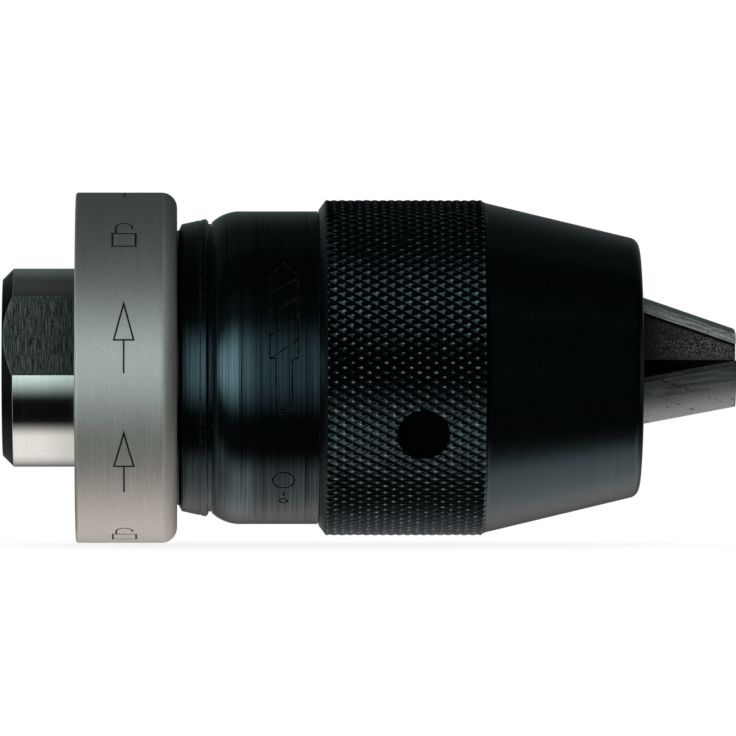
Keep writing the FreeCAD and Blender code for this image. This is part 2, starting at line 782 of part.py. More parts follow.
def stop_pin():
    """Pin in the carrier that limits the turn of the release ring."""
    start = S.ring_web_start + 0.1
    length = S.carrier_start + S.carrier_width - start
    pin = bar("stop_pin_bar", S.stop_radius, length, start, S.stop_circle, S.stop_angle)
    group("stop_pin", [pin], MECHANISM)


def pawl_springs():
    """Two leaf springs that press the pawls' tails outwards."""
    body = new_body("pawl_springs")
    sketch = new_sketch(body, "YZ_Plane", "leaf", along=S.pawl_start + 0.3)
    inner = [polar(radius, angle) for radius, angle in SPRING_INNER]
    outer = [polar(size(radius) + S.spring_thickness, angle) for radius, angle in SPRING_INNER]
    outline(sketch, inner + outer[::-1])
    leaf = extrude(body, sketch, S.pawl_width - 0.6, "Pad")
    pattern(body, [leaf], PAWL_COUNT)
    finish(body, MECHANISM)


def ring_circlip():
    """External circlip behind the release ring, with two pierced eyes."""
    body = new_body("ring_circlip")
    sketch = new_sketch(body, "YZ_Plane", "band", along=S.clip_start + S.fit_play)
    round_outline(sketch, 0, 0, S.clip_radius)
    round_outline(sketch, 0, 0, S.clip_groove_radius + S.fit_play)
    extrude(body, sketch, S.clip_width, "Pad")
    gap = new_sketch(body, "YZ_Plane", "gap", along=S.clip_start)
    side = S.clip_gap / 2
    outline(gap, rectangle(-side, 0, side, S.clip_radius + OVERCUT))
    extrude(body, gap, S.clip_width + S.fit_play, "Pocket", reverse=True)
    eyes = new_sketch(body, "YZ_Plane", "eyes", along=S.clip_start + S.fit_play)
    eye_side = side + S.clip_eye
    eye_height = S.clip_radius - 0.3
    for sign in (-1, 1):
        round_outline(eyes, eye_side * sign, eye_height, S.clip_eye)
    extrude(body, eyes, S.clip_width, "Pad")
    holes = new_sketch(body, "YZ_Plane", "holes", along=S.clip_start)
    for sign in (-1, 1):
        round_outline(holes, eye_side * sign, eye_height, S.clip_eye / 2)
    extrude(body, holes, S.clip_width + S.fit_play, "Pocket", reverse=True)
    finish(body, facing(S.flat_facing - 90.0))


def race(label, start, groove_side):
    """Bearing race with a round ball track."""
    body = new_body(label)
    inner = S.hub_radius + 0.1
    revolve(body, "disc", rectangle(start, inner, start + S.race_width, S.race_radius))
    turned_groove(body, groove_side, S.ball_place, S.ball_circle, S.ball_radius + 0.02)
    finish(body)


# The release ring


def release_ring():
    """Outer ring with a web that turns on the hub, two lugs for the pawls and a slot for the stop pin."""
    body = new_body("release_ring")
    ring_front = S.ring_start + S.ring_width
    web_end = S.ring_web_start + S.ring_web_width
    bore = S.hub_radius + 0.06
    points = [
        (S.ring_start, S.ring_recess),
        (S.ring_start, S.ring_radius),
        (ring_front, S.ring_radius),
        (ring_front, S.ring_cavity),
        (web_end, S.ring_cavity),
        (web_end, bore),
        (S.ring_web_start, bore),
        (S.ring_web_start, S.ring_recess),
    ]
    revolve(body, "profile", points)
    fillet(body, ring_front, S.ring_radius, S.ring_front_round)
    fillet(body, S.ring_start, S.ring_radius, S.ring_rear_round)

    lug = new_sketch(body, "YZ_Plane", "lug", along=S.pawl_start)
    low, high = LUG_ANGLES
    outer = S.ring_cavity + 0.5
    sector = [polar(S.lug_radius, low), polar(outer, low), polar(outer, high), polar(S.lug_radius, high)]
    outline(lug, sector, {1: outer, 3: -S.lug_radius})
    lugs = extrude(body, lug, S.pawl_width, "Pad")
    pattern(body, [lugs], PAWL_COUNT)

    slot = new_sketch(body, "YZ_Plane", "slot", along=S.ring_web_start)
    half_pin = math.degrees(math.asin(S.stop_radius.value / S.stop_circle.value))
    end = S.stop_angle + half_pin + S.stop_slot_play
    begin = S.stop_angle - S.ring_turn - half_pin - S.stop_slot_play
    inner = S.stop_circle - S.stop_radius - 0.1
    outer = S.stop_circle + S.stop_radius + 0.1
    sector = [polar(inner, begin), polar(outer, begin), polar(outer, end), polar(inner, end)]
    outline(slot, sector, {1: outer, 3: -inner})
    extrude(body, slot, S.ring_web_width, "Pocket", reverse=True)
    ring_marks().cut_from(body, RING_MARK_REPEATS)
    finish(body, MECHANISM)


def ring_cover():
    """Thin plate that closes the front of the release ring."""
    body = new_body("ring_cover")
    end = S.cover_start + S.cover_width
    outer = S.ring_cavity - 0.02
    revolve(body, "plate", rectangle(S.cover_start, S.cover_radius, end, outer))
    finish(body)


def pawl(label, number):
    """A pawl on its pin, lifted clear of the teeth."""
    body = new_body(label)
    sketch = new_sketch(body, "YZ_Plane", "outline", along=S.pawl_start)
    points = []
    for radius, angle in PAWL_OUTLINE:
        turn = size(angle) - S.pivot_angle
        points.append((radius * cosine(turn) - S.pivot_radius, radius * sine(turn)))
    outline(sketch, points)
    round_outline(sketch, 0, 0, S.pin_radius + S.fit_play)
    extrude(body, sketch, S.pawl_width, "Pad")
    angle = S.pivot_angle.value + 360.0 / PAWL_COUNT * number
    y, z = polar(S.pivot_radius, angle)
    turn = FreeCAD.Rotation(FreeCAD.Vector(1, 0, 0), angle + S.pawl_lift.value)
    local = FreeCAD.Placement(FreeCAD.Vector(0, y.value, z.value), turn)
    finish(body, MECHANISM.multiply(local))


# What turns with the clamping sleeve


def ratchet_ring():
    """Ring with saw teeth that the pawls stop in the opening direction."""
    body = new_body("ratchet_ring")
    seat_start = S.tooth_ring_start + S.tooth_ring_width
    seat_end = seat_start + S.tooth_ring_seat_width
    bore = S.hub_radius + 0.1
    points = [
        (S.tooth_ring_start, bore),
        (S.tooth_ring_start, S.tooth_tip),
        (seat_start, S.tooth_tip),
        (seat_start, S.tooth_ring_seat),
        (seat_end, S.tooth_ring_seat),
        (seat_end, bore),
    ]
    revolve(body, "blank", points)
    tooth = new_sketch(body, "YZ_Plane", "tooth", along=S.tooth_ring_start)
    step = 360.0 / SIZES["tooth_count"][0]
    outside = S.tooth_tip + 1.0
    gap = [polar(S.tooth_root, 0), polar(outside, 0), polar(outside, step), polar(S.tooth_tip, step)]
    outline(tooth, gap)
    cut = extrude(body, tooth, S.tooth_ring_width, "Pocket", reverse=True)
    pattern(body, [cut], SIZES["tooth_count"][0])
    finish(body, MECHANISM)


def bearing_nut():
    """Rear nut of the sleeve, which carries the rear race and the toothed ring."""
    body = new_body("bearing_nut")
    seat = S.tooth_ring_seat + S.fit_play
    seat_end = S.tooth_ring_start + S.tooth_ring_width + S.tooth_ring_seat_width + 0.05
    bore = S.hub_radius + 0.1
    skirt_bore = S.race_radius + 0.05
    edge_end = S.nut_edge_start + 0.4
    points = [
        (S.nut_start, seat),
        (S.nut_start, S.nut_rear_radius),
        (S.nut_edge_start, S.nut_rear_radius),
        (edge_end, S.nut_edge_radius),
        (S.nut_front - 0.35, S.nut_large_radius),
        (S.nut_front, S.nut_large_radius - 0.3),
        (S.nut_front, S.groove_radius),
        (S.nut_front + S.groove_width, S.groove_radius),
        (S.nut_front + S.groove_width, S.skirt_radius),
        (S.skirt_end, S.skirt_radius),
        (S.skirt_end, skirt_bore),
        (S.rear_race_start, skirt_bore),
        (S.rear_race_start, bore),
        (seat_end, bore),
        (seat_end, seat),
    ]
    revolve(body, "profile", points)
    slope = (S.nut_large_radius - S.nut_edge_radius) / (S.nut_front - 0.35 - edge_end)
    line_height = S.nut_edge_radius + slope * (S.nut_line - edge_end)
    turned_groove(body, "line", S.nut_line, line_height, S.nut_line_size)
    finish(body)


def rear_sleeve():
    """Black sleeve between the nut and the clamping sleeve, with a threaded spigot at its front."""
    body = new_body("rear_sleeve")
    start = S.nut_front + S.groove_width + S.fit_play
    thread_bore = S.skirt_radius + S.fit_play
    running_bore = S.flange_radius + 0.08
    thread_end = S.flange_start - 0.1
    spigot_start = S.hood_start - 0.1
    points = [
        (start, thread_bore),
        (start, S.sleeve_rear_radius),
        (S.sleeve_curve_end, S.sleeve_radius),
        (spigot_start, S.sleeve_radius),
        (spigot_start, S.spigot_radius),
        (S.spigot_end, S.spigot_radius),
        (S.spigot_end, S.spigot_bore),
        (S.sleeve_shoulder, S.spigot_bore),
        (S.sleeve_shoulder, running_bore),
        (thread_end, running_bore),
        (thread_end, thread_bore),
    ]
    revolve(body, "profile", points, {1: -S.sleeve_curve})
    dowel_holes(body, S.dowel_start - 0.1, S.spigot_end)
    sleeve_marks().cut_from(body, SLEEVE_MARK_REPEATS)
    finish(body, facing(JAW_FACINGS[0]))


def dowel_holes(body, start, end):
    """Three holes for the dowels, half way between the jaws."""
    sketch = new_sketch(body, "YZ_Plane", "dowel_holes", along=start)
    for number in range(JAW_COUNT):
        y, z = polar(S.dowel_circle, 90.0 + 180.0 / JAW_COUNT + 360.0 / JAW_COUNT * number)
        round_outline(sketch, y, z, S.dowel_radius + S.fit_play)
    extrude(body, sketch, end - start, "Pocket", reverse=True)


def guide_dowels():
    """Dowels that make the guide turn with the rear sleeve."""
    pins = []
    for number in range(JAW_COUNT):
        angle = 90.0 + 180.0 / JAW_COUNT + 360.0 / JAW_COUNT * number
        name = f"guide_dowel_{number}"
        pins.append(bar(name, S.dowel_radius, S.dowel_length, S.dowel_start, S.dowel_circle, angle))
    group("guide_dowels", pins, facing(JAW_FACINGS[0]))


def clamping_sleeve():
    """Outer sleeve with the grip, the nose and the cone that the jaws slide on."""
    body = new_body("clamping_sleeve")
    cone_end = S.mouth_place - (S.hood_bore - S.mouth_radius) / tangent(S.jaw_angle)
    mouth = S.mouth_radius + S.mouth_chamfer * 1.2
    points = [
        (S.hood_start, S.hood_bore),
        (S.hood_start, S.hood_rear_radius),
        (S.hood_start + S.hood_chamfer, S.hood_radius),
        (S.knurl_end, S.hood_radius),
        (S.cone_start, S.cone_radius),
        (S.mouth_place, hood_height(S.mouth_place)),
        (S.mouth_place, mouth),
        (S.mouth_place - S.mouth_chamfer, cone_height(S.mouth_place - S.mouth_chamfer)),
        (cone_end, S.hood_bore),
    ]
    revolve(body, "profile", points)
    fillet(body, S.mouth_place, hood_height(S.mouth_place), S.nose_round)
    holes = new_sketch(body, "XY_Plane", "wrench_hole", along=S.hood_radius)
    round_outline(holes, S.wrench_hole_place, 0, S.wrench_hole_radius)
    hole = extrude(body, holes, S.wrench_hole_depth, "Pocket")
    pattern(body, [hole], WRENCH_HOLE_COUNT)
    finish(body, facing(S.wrench_hole_facing))


def jaw_guide():
    """Crown of three prongs inside the cone, with T-slots that the jaws slide in."""
    body = new_body("jaw_guide")
    play = S.fit_play
    front_height = cone_height(S.guide_front) - play
    cone_foot = S.mouth_place - (S.guide_ring_radius - S.mouth_radius + play) / tangent(S.jaw_angle)
    points = [
        (S.guide_start, S.guide_ring_bore),
        (S.guide_start, S.guide_ring_radius),
        (cone_foot, S.guide_ring_radius),
        (S.guide_front, front_height),
        (S.guide_front, S.guide_bore),
        (S.guide_cavity_end, S.guide_bore),
        (S.guide_cavity_end, S.guide_cavity),
        (S.guide_ring_end, S.guide_cavity),
        (S.guide_ring_end, S.guide_ring_bore),
    ]
    revolve(body, "profile", points)
    web = new_sketch(body, "XZ_Plane", "web_slot")
    far = S.guide_front + OVERCUT
    outline(web, rectangle(S.guide_ring_end, 0, far, S.hood_radius))
    web_slot = extrude(body, web, S.web_width + S.slot_play * 2, "Pocket", symmetric=True)
    wing = new_sketch(body, "XZ_Plane", "wing_slot")
    depth = S.wing_depth + S.slot_play
    corners = [
        (S.guide_ring_end, cone_height(S.guide_ring_end) - depth),
        (far, cone_height(far) - depth),
        (far, cone_height(far) + OVERCUT),
        (S.guide_ring_end, cone_height(S.guide_ring_end) + OVERCUT),
    ]
    outline(wing, corners)
    wing_slot = extrude(body, wing, S.wing_width + S.slot_play * 2, "Pocket", symmetric=True)
    pattern(body, [web_slot, wing_slot], JAW_COUNT)
    dowel_holes(body, S.guide_start, S.dowel_start + S.dowel_length + 0.1)
    finish(body, facing(JAW_FACINGS[0]))


# The bearing


def bearing_balls():
    """Balls between the races."""
    balls = []
    for number in range(SIZES["ball_count"][0]):
        ball = doc.addObject("Part::Sphere", f"ball_{number}")
        ball.setExpression("Radius", S.ball_radius.text)
        y, z = polar(S.ball_circle, 360.0 / SIZES["ball_count"][0] * number)
        ball.setExpression("Placement.Base.x", S.ball_place.text)
        ball.setExpression("Placement.Base.y", y.text)
        ball.setExpression("Placement.Base.z", z.text)
        balls.append(ball)
    group("bearing_balls", balls)


def ball_cage():
    """Ring that spaces the balls."""
    body = new_body("ball_cage")
    start = S.ball_place - S.cage_width / 2
    inner = S.ball_circle - S.cage_height / 2
    outer = S.ball_circle + S.cage_height / 2
    revolve(body, "band", rectangle(start, inner, start + S.cage_width, outer))
    sketch = new_sketch(body, "YZ_Plane", "pocket", along=start)
    round_outline(sketch, S.ball_circle, 0, S.ball_radius + 0.06)
    hole = extrude(body, sketch, S.cage_width, "Pocket", reverse=True)
    pattern(body, [hole], SIZES["ball_count"][0])
    finish(body)


# The feed screw and the jaws


def feed_screw():
    """Screw whose head has three radial T-slots for the jaws' feet."""
    body = new_body("feed_screw")
    points = [
        (S.screw_start, S.screw_bore),
        (S.screw_start, S.screw_radius - 0.8),
        (S.screw_start + 0.8, S.screw_radius),
        (S.head_start, S.screw_radius),
        (S.head_start, S.head_radius - 0.5),
        (S.head_start + 0.5, S.head_radius),
        (S.head_end, S.head_radius),
        (S.head_end, S.screw_bore),
    ]
    revolve(body, "profile", points)
    outside = S.head_radius + OVERCUT
    neck = new_sketch(body, "XZ_Plane", "neck_slot")
    outline(neck, rectangle(S.head_lip, 0, S.head_end + OVERCUT, outside))
    neck_slot = extrude(body, neck, S.web_width + S.slot_play * 2, "Pocket", symmetric=True)
    foot = new_sketch(body, "XZ_Plane", "foot_slot")
    outline(foot, rectangle(S.head_slot, 0, S.head_lip, outside))
    foot_slot = extrude(body, foot, S.foot_width + S.slot_play * 2, "Pocket", symmetric=True)
    pattern(body, [neck_slot, foot_slot], JAW_COUNT)
    finish(body, facing(JAW_FACINGS[0]))


def jaw(number):
    """A jaw: a web with a gripping edge, wings along its back, and a foot for the feed screw."""
    body = new_body(f"jaw_{number + 1}")
    extra = 0.6
    web = new_sketch(body, "XZ_Plane", "web")
    points = [
        (S.tail_start, 0),
        (S.jaw_tip, 0),
        (S.jaw_tip, cone_height(S.jaw_tip) + extra),
        (S.wing_start, cone_height(S.wing_start) + extra),
        (S.wing_start, S.tail_radius),
        (S.tail_start, S.tail_radius),
        (S.tail_start, S.foot_outer),
        (S.foot_start, S.foot_outer),
        (S.foot_start, S.foot_inner),
        (S.tail_start, S.foot_inner),
    ]
    outline(web, points)
    extrude(body, web, S.web_width, "Pad", symmetric=True)

    wings = new_sketch(body, "XZ_Plane", "wings")
    points = [
        (S.wing_start, cone_height(S.wing_start) - S.wing_depth),
        (S.jaw_tip, cone_height(S.jaw_tip) - S.wing_depth),
        (S.jaw_tip, cone_height(S.jaw_tip) + extra),
        (S.wing_start, cone_height(S.wing_start) + extra),
    ]
    outline(wings, points)
    extrude(body, wings, S.wing_width, "Pad", symmetric=True)

    foot = new_sketch(body, "XZ_Plane", "foot")
    foot_end = S.foot_start + S.foot_depth
    outline(foot, rectangle(S.foot_start, S.foot_inner, foot_end, S.foot_outer))
    extrude(body, foot, S.foot_width, "Pad", symmetric=True)

    cut_gripping_edge(body)
    cut_crown(body)
    round_tip(body)
    finish(body, facing(JAW_FACINGS[number]))


def cut_gripping_edge(body):
    """Cuts the two 60 degree faces that meet the other jaws, and the land between them."""
    sketch = new_sketch(body, "YZ_Plane", "gripping_edge")
    half_angle = size(180.0 / JAW_COUNT)
    land_side = (S.jaw_land - S.jaw_gap) * tangent(half_angle)
    side = S.wing_width / 2
    height = side / tangent(half_angle) + S.jaw_gap
    points = [
        (-side, height),
        (-side, -1),
        (side, -1),
        (side, height),
        (land_side, S.jaw_land),
        (-land_side, S.jaw_land),
    ]
    outline(sketch, points)
    extrude(body, sketch, S.jaw_tip + 1, "Pocket", reverse=True)


def cut_crown(body):
    """Rounds the jaw's back with a cylinder whose crest lies on the cone."""
    sketch = new_sketch(
        body, "YZ_Plane", "crown", along=S.mouth_place, lift=S.mouth_radius, tilt=S.jaw_angle
    )
    side = S.wing_width / 2 + 0.5
    drop = S.crown_radius - triangle_side(S.crown_radius, side)
    points = [(-side, -drop), (side, -drop), (side, 2), (-side, 2)]
    outline(sketch, points, {0: -S.crown_radius})
    extrude(body, sketch, S.jaw_tip, "Pocket", symmetric=True)


def round_tip(body):
    """Rounds the outer edge of the jaw's front face."""
    before = volume_of(body)
    base = body.Tip
    names = []
    for index, edge in enumerate(base.Shape.Edges, start=1):
        box = edge.BoundBox
        at_tip = box.XLength < 1e-3 and abs(box.XMax - S.jaw_tip.value) < 1e-3
        if at_tip and box.YLength > S.web_width.value and box.ZMin > S.jaw_land.value + 3:
            names.append(f"Edge{index}")
    feature = body.newObject("PartDesign::Fillet", f"{body.Label}_tip_round")
    feature.Base = (base, names)
    feature.Radius = S.jaw_tip_round.value
    feature.setExpression("Radius", S.jaw_tip_round.text)
    require_change(body, before, feature.Name)


def export_parts():
    """Checks every object and writes each finished sub-part to its own STEP file."""
    doc.recompute()
    for item in doc.Objects:
        if "Invalid" in item.State or "Error" in item.State:
            raise RuntimeError(f"{item.Name} failed: {item.State}")
    for item in finished:
        if item.Shape.isNull() or not item.Shape.isValid() or not item.Shape.Solids:
            raise RuntimeError(f"{item.Label} has no valid solid")
    os.makedirs("parts", exist_ok=True)
    for item in finished:
        item.Shape.exportStep(f"parts/{item.Label}.step")
        print(f"{item.Label}: {len(item.Shape.Solids)} solid(s), {item.Shape.Volume:.1f} mm3")


chuck_body()
pawl_carrier()
pawl_pins()
stop_pin()
pawl_springs()
ring_circlip()
race("front_race", S.flange_start - S.race_width, "track")
release_ring()
ring_cover()
pawl("pawl_a", 0)
pawl("pawl_b", 1)
ratchet_ring()
bearing_nut()
race("rear_race", S.rear_race_start, "track")
rear_sleeve()
guide_dowels()
clamping_sleeve()
jaw_guide()
bearing_balls()
ball_cage()
feed_screw()
for jaw_number in range(JAW_COUNT):
    jaw(jaw_number)
export_parts()
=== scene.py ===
"""Looks of the keyless drill chuck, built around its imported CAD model.

The chuck axis is X and the jaws point along +X. A "facing" angle is measured about X from -Y towards
+Z, so 0 faces the camera, 90 faces up and -90 faces down.
"""

import math
import random

import bmesh
import bpy
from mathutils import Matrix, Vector


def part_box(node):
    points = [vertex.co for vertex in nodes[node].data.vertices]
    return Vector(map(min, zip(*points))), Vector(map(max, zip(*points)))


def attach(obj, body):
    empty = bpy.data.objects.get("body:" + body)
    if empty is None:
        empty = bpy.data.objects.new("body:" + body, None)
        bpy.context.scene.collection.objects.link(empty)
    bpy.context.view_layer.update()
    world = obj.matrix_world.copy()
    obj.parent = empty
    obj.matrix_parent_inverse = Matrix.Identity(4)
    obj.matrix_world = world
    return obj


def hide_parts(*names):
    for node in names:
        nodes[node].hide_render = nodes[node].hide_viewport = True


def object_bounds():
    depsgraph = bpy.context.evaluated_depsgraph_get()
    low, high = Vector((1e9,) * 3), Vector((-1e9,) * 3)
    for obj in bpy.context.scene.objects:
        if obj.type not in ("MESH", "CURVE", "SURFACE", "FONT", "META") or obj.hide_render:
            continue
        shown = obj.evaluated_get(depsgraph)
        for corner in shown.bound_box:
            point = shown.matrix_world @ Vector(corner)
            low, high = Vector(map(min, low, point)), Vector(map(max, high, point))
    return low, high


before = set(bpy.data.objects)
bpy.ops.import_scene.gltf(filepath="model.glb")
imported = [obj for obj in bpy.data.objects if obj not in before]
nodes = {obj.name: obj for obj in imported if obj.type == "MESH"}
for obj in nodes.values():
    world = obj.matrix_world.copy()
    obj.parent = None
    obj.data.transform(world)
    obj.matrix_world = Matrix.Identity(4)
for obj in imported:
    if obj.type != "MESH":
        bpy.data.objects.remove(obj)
cad_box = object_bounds()

MM = 0.001

# Edges sharper than SHARP_ANGLE, in degrees, are shaded sharp. Points closer than WELD_DISTANCE, in
# metres, become one.
SHARP_ANGLE = 12
WELD_DISTANCE = 1e-8

# Clamping sleeve, in millimetres and degrees. Places along X are counted from its rear face.
REAR_CHAMFER = 0.95
REAR_CHAMFER_HEIGHT = 1.3
KNURL_LENGTH = 19.9
KNURL_DEPTH = 0.35
KNURL_STARTS = 110
KNURL_COLUMNS = 19
CONE_START = 21.3
CONE_ANGLE = 13.45
NOSE_ROUND = 1.4
NOSE_STEPS = 8
MOUTH_CHAMFER = 0.4
MOUTH_WIDENING = 1.2
THREAD_BORE = 18.2
SHARP_BREAK = 0.12

# Knurl diamonds: each ring's share of the half diagonal and its depth below the tip, then how much the
# tips drop, grow and lean at random, and the seed of that
DIAMOND_FOOT = (0.86, 0.19)
DIAMOND_SHOULDER = (0.5, 0.095)
DIAMOND_TOP = (0.15, 0.0)
DIAMOND_DROP = 0.03
DIAMOND_GROWTH = 0.16
DIAMOND_LEAN = 0.012
DIAMOND_SEED = 11

# The two blind holes in the clamping sleeve
HOLE_RADIUS = 3.35
HOLE_DEPTH = 2.5
HOLE_PLACE = 13.0
HOLE_FACINGS = (-23.5, 156.5)
CUTTER_PLAY = 2.0

# Jaws. Their backs lie on a cone that opens rearwards. A web, 2 * WEB_HALF wide, carries two wings, and
# the jaw is 2 * WING_HALF wide over them. WING_FOOT is the height of their lower edge, drawn on to X = 0.
JAW_CONE_ANGLE = 19.0
JAW_CONE_MOUTH = 9.25
JAW_FACING = -32.2
WEB_HALF = 1.8
WING_HALF = 3.1
WING_FOOT = 35.44

# Thread in the spindle bore
THREAD_PITCH = 1.27
THREAD_ROOT = 6.35
THREAD_INSIDE = 5.5
THREAD_HALF_MOUTH = 0.59
THREAD_HALF_ROOT = 0.1
THREAD_START = -0.4
THREAD_END = 15.9
THREAD_STEPS = 40

# Where looks change along X: the end of the hub's milled flats, the span in which its flats darken towards
# the ring and that of the painted shade on the rest of the hub near the ring, the length of the ring's
# blasted rounding, half the length of its marked wall, the rear sleeve's rounded end, and the span over
# which the painted shade on the jaws' webs lifts towards their tips
FLAT_END = 15.3
FLAT_DARKENING = (1.5, 9.0)
HUB_PAINTED_SHADE_SPAN = (4.0, 9.0)
RING_ROUNDING = 1.85
MARK_HALF_LENGTH = 4.1
REAR_SLEEVE_END = (31.0, 32.3)
WEB_PAINTED_SHADE_SPAN = (81.5, 92.0)

# The facing angle of one of the hub's two flats
FLAT_FACING = 20.7

# Camera, in millimetres: its distance from the chuck axis and place along X, then the middle, width and
# height of its aim, the nearest and farthest things it sees, and its sensor
CAMERA_DISTANCE = 1165.0
CAMERA_PLACE = 23.3
VIEW_CENTRE = 46.77
VIEW_WIDTH = 94.36
VIEW_HEIGHT = -0.04
NEAREST_SEEN = 50.0
FARTHEST_SEEN = 20000.0
SENSOR_WIDTH = 36.0

# Floor, in millimetres, and its whiteness in the deepest part of the contact shadow
FLOOR_HALF = 450.0
FLOOR_GAP = 0.3
SHADOW_REACH = 25.0
SHADOW_WHITE = 0.88


# Meshes


def mesh_object(name, points, faces, body):
    """A mesh from points in millimetres that rides on a body."""
    mesh = bpy.data.meshes.new(name)
    mesh.from_pydata([Vector(point) * MM for point in points], [], faces)
    work = bmesh.new()
    work.from_mesh(mesh)
    bmesh.ops.remove_doubles(work, verts=work.verts, dist=WELD_DISTANCE)
    bmesh.ops.recalc_face_normals(work, faces=work.faces)
    work.to_mesh(mesh)
    work.free()
    piece = bpy.data.objects.new(name, mesh)
    bpy.context.scene.collection.objects.link(piece)
    smooth_by_angle(piece)
    if body:
        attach(piece, body)
    return piece


def smooth_by_angle(piece):
    """Shades a mesh smooth, except at its sharp edges."""
    piece.data.shade_smooth()
    piece.data.set_sharp_from_angle(angle=math.radians(SHARP_ANGLE))


def around(place, radius, turn):
    """A point from its place along X, its radius, and its angle about X from +Y towards +Z."""
    return (place, radius * math.cos(turn), radius * math.sin(turn))


def facing_direction(facing):
    """Unit vector away from the chuck axis at a facing angle."""
    turn = math.radians(facing)
    return Vector((0, -math.cos(turn), math.sin(turn)))


def subtract(piece, cutters):
    """Cuts closed meshes out of a piece, and keeps the result as its mesh."""
    for cutter in cutters:
        modifier = piece.modifiers.new("cut", "BOOLEAN")
        modifier.operation = "DIFFERENCE"
        modifier.solver = "EXACT"
        modifier.object = cutter
    bpy.context.view_layer.update()
    graph = bpy.context.evaluated_depsgraph_get()
    result = bpy.data.meshes.new_from_object(piece.evaluated_get(graph))
    piece.modifiers.clear()
    piece.data = result
    for cutter in cutters:
        bpy.data.objects.remove(cutter)
    smooth_by_angle(piece)


def rod(name, start, direction, radius, length, sides=64):
    """A closed cylinder in millimetres, for cutting holes."""
    direction = Vector(direction).normalized()
    across = Vector((1, 0, 0)) if abs(direction.x) < 0.5 else Vector((0, 1, 0))
    up = direction.cross(across).normalized()
    across = up.cross(direction)
    points = []
    for end in (Vector(start), Vector(start) + direction * length):
        for step in range(sides):
            turn = 2 * math.pi * step / sides
            points.append(end + across * radius * math.cos(turn) + up * radius * math.sin(turn))
    walls = [(s, (s + 1) % sides, (s + 1) % sides + sides, s + sides) for s in range(sides)]
    caps = [tuple(range(sides)), tuple(range(2 * sides - 1, sides - 1, -1))]
    return mesh_object(name, points, walls + caps, None)


# The clamping sleeve with its knurling


def knurl_diamonds(start, radius, points, faces):
    """Diamonds between two crossing sets of V-grooves. Returns the serrated chains at both ends.

    Grooves cross at grid places (column, row) with an odd sum, and diamonds stand on the others. Each
    diamond has a worn, slightly rounded top, and its height and size vary a little.
    """
    pitch = KNURL_LENGTH / KNURL_COLUMNS
    rows = 2 * KNURL_STARTS
    spread = random.Random(DIAMOND_SEED)
    corners = {}

    def corner(column, row):
        row %= rows
        if (column, row) not in corners:
            place = start + column * pitch
            if column == 0:
                place -= KNURL_DEPTH * REAR_CHAMFER / REAR_CHAMFER_HEIGHT
            if column == KNURL_COLUMNS:
                place = start - REAR_CHAMFER + CONE_START
            corners[column, row] = len(points)
            points.append(around(place, radius - KNURL_DEPTH, math.pi * row / KNURL_STARTS))
        return corners[column, row]

    chains = ([], [])
    for column in range(KNURL_COLUMNS + 1):
        for row in range(column % 2, rows, 2):
            sides = [(0, -1), (1, 0), (0, 1), (-1, 0)]
            if column == 0:
                sides = [(0, -1), (1, 0), (0, 1)]
            if column == KNURL_COLUMNS:
                sides = [(0, 1), (-1, 0), (0, -1)]
            rings = [[corner(column + dc, row + dr) for dc, dr in sides]]
            drop = DIAMOND_DROP * spread.random() ** 2
            grow = 1 + DIAMOND_GROWTH * (spread.random() - 0.5)
            lean = DIAMOND_LEAN * (spread.random() - 0.5)
            outline = [DIAMOND_FOOT]
            outline += [(share * grow, depth) for share, depth in (DIAMOND_SHOULDER, DIAMOND_TOP)]
            for share, depth in outline:
                ring = []
                for dc, dr in sides:
                    place = start + (column + dc * share) * pitch
                    turn = math.pi * (row + dr * share) / KNURL_STARTS
                    ring.append(len(points))
                    points.append(around(place, radius - depth - drop + lean * dr, turn))
                rings.append(ring)
            count = len(sides)
            last = count if count == 4 else count - 1
            for low, high in zip(rings, rings[1:]):
                for side in range(last):
                    after = (side + 1) % count
                    faces.append((low[side], low[after], high[after], high[side]))
            faces.append(tuple(rings[-1]))
            if count == 3:
                chain = [ring[0] for ring in rings] + [ring[-1] for ring in reversed(rings)]
                chains[0 if column == 0 else 1].append((row, chain))
    return chains


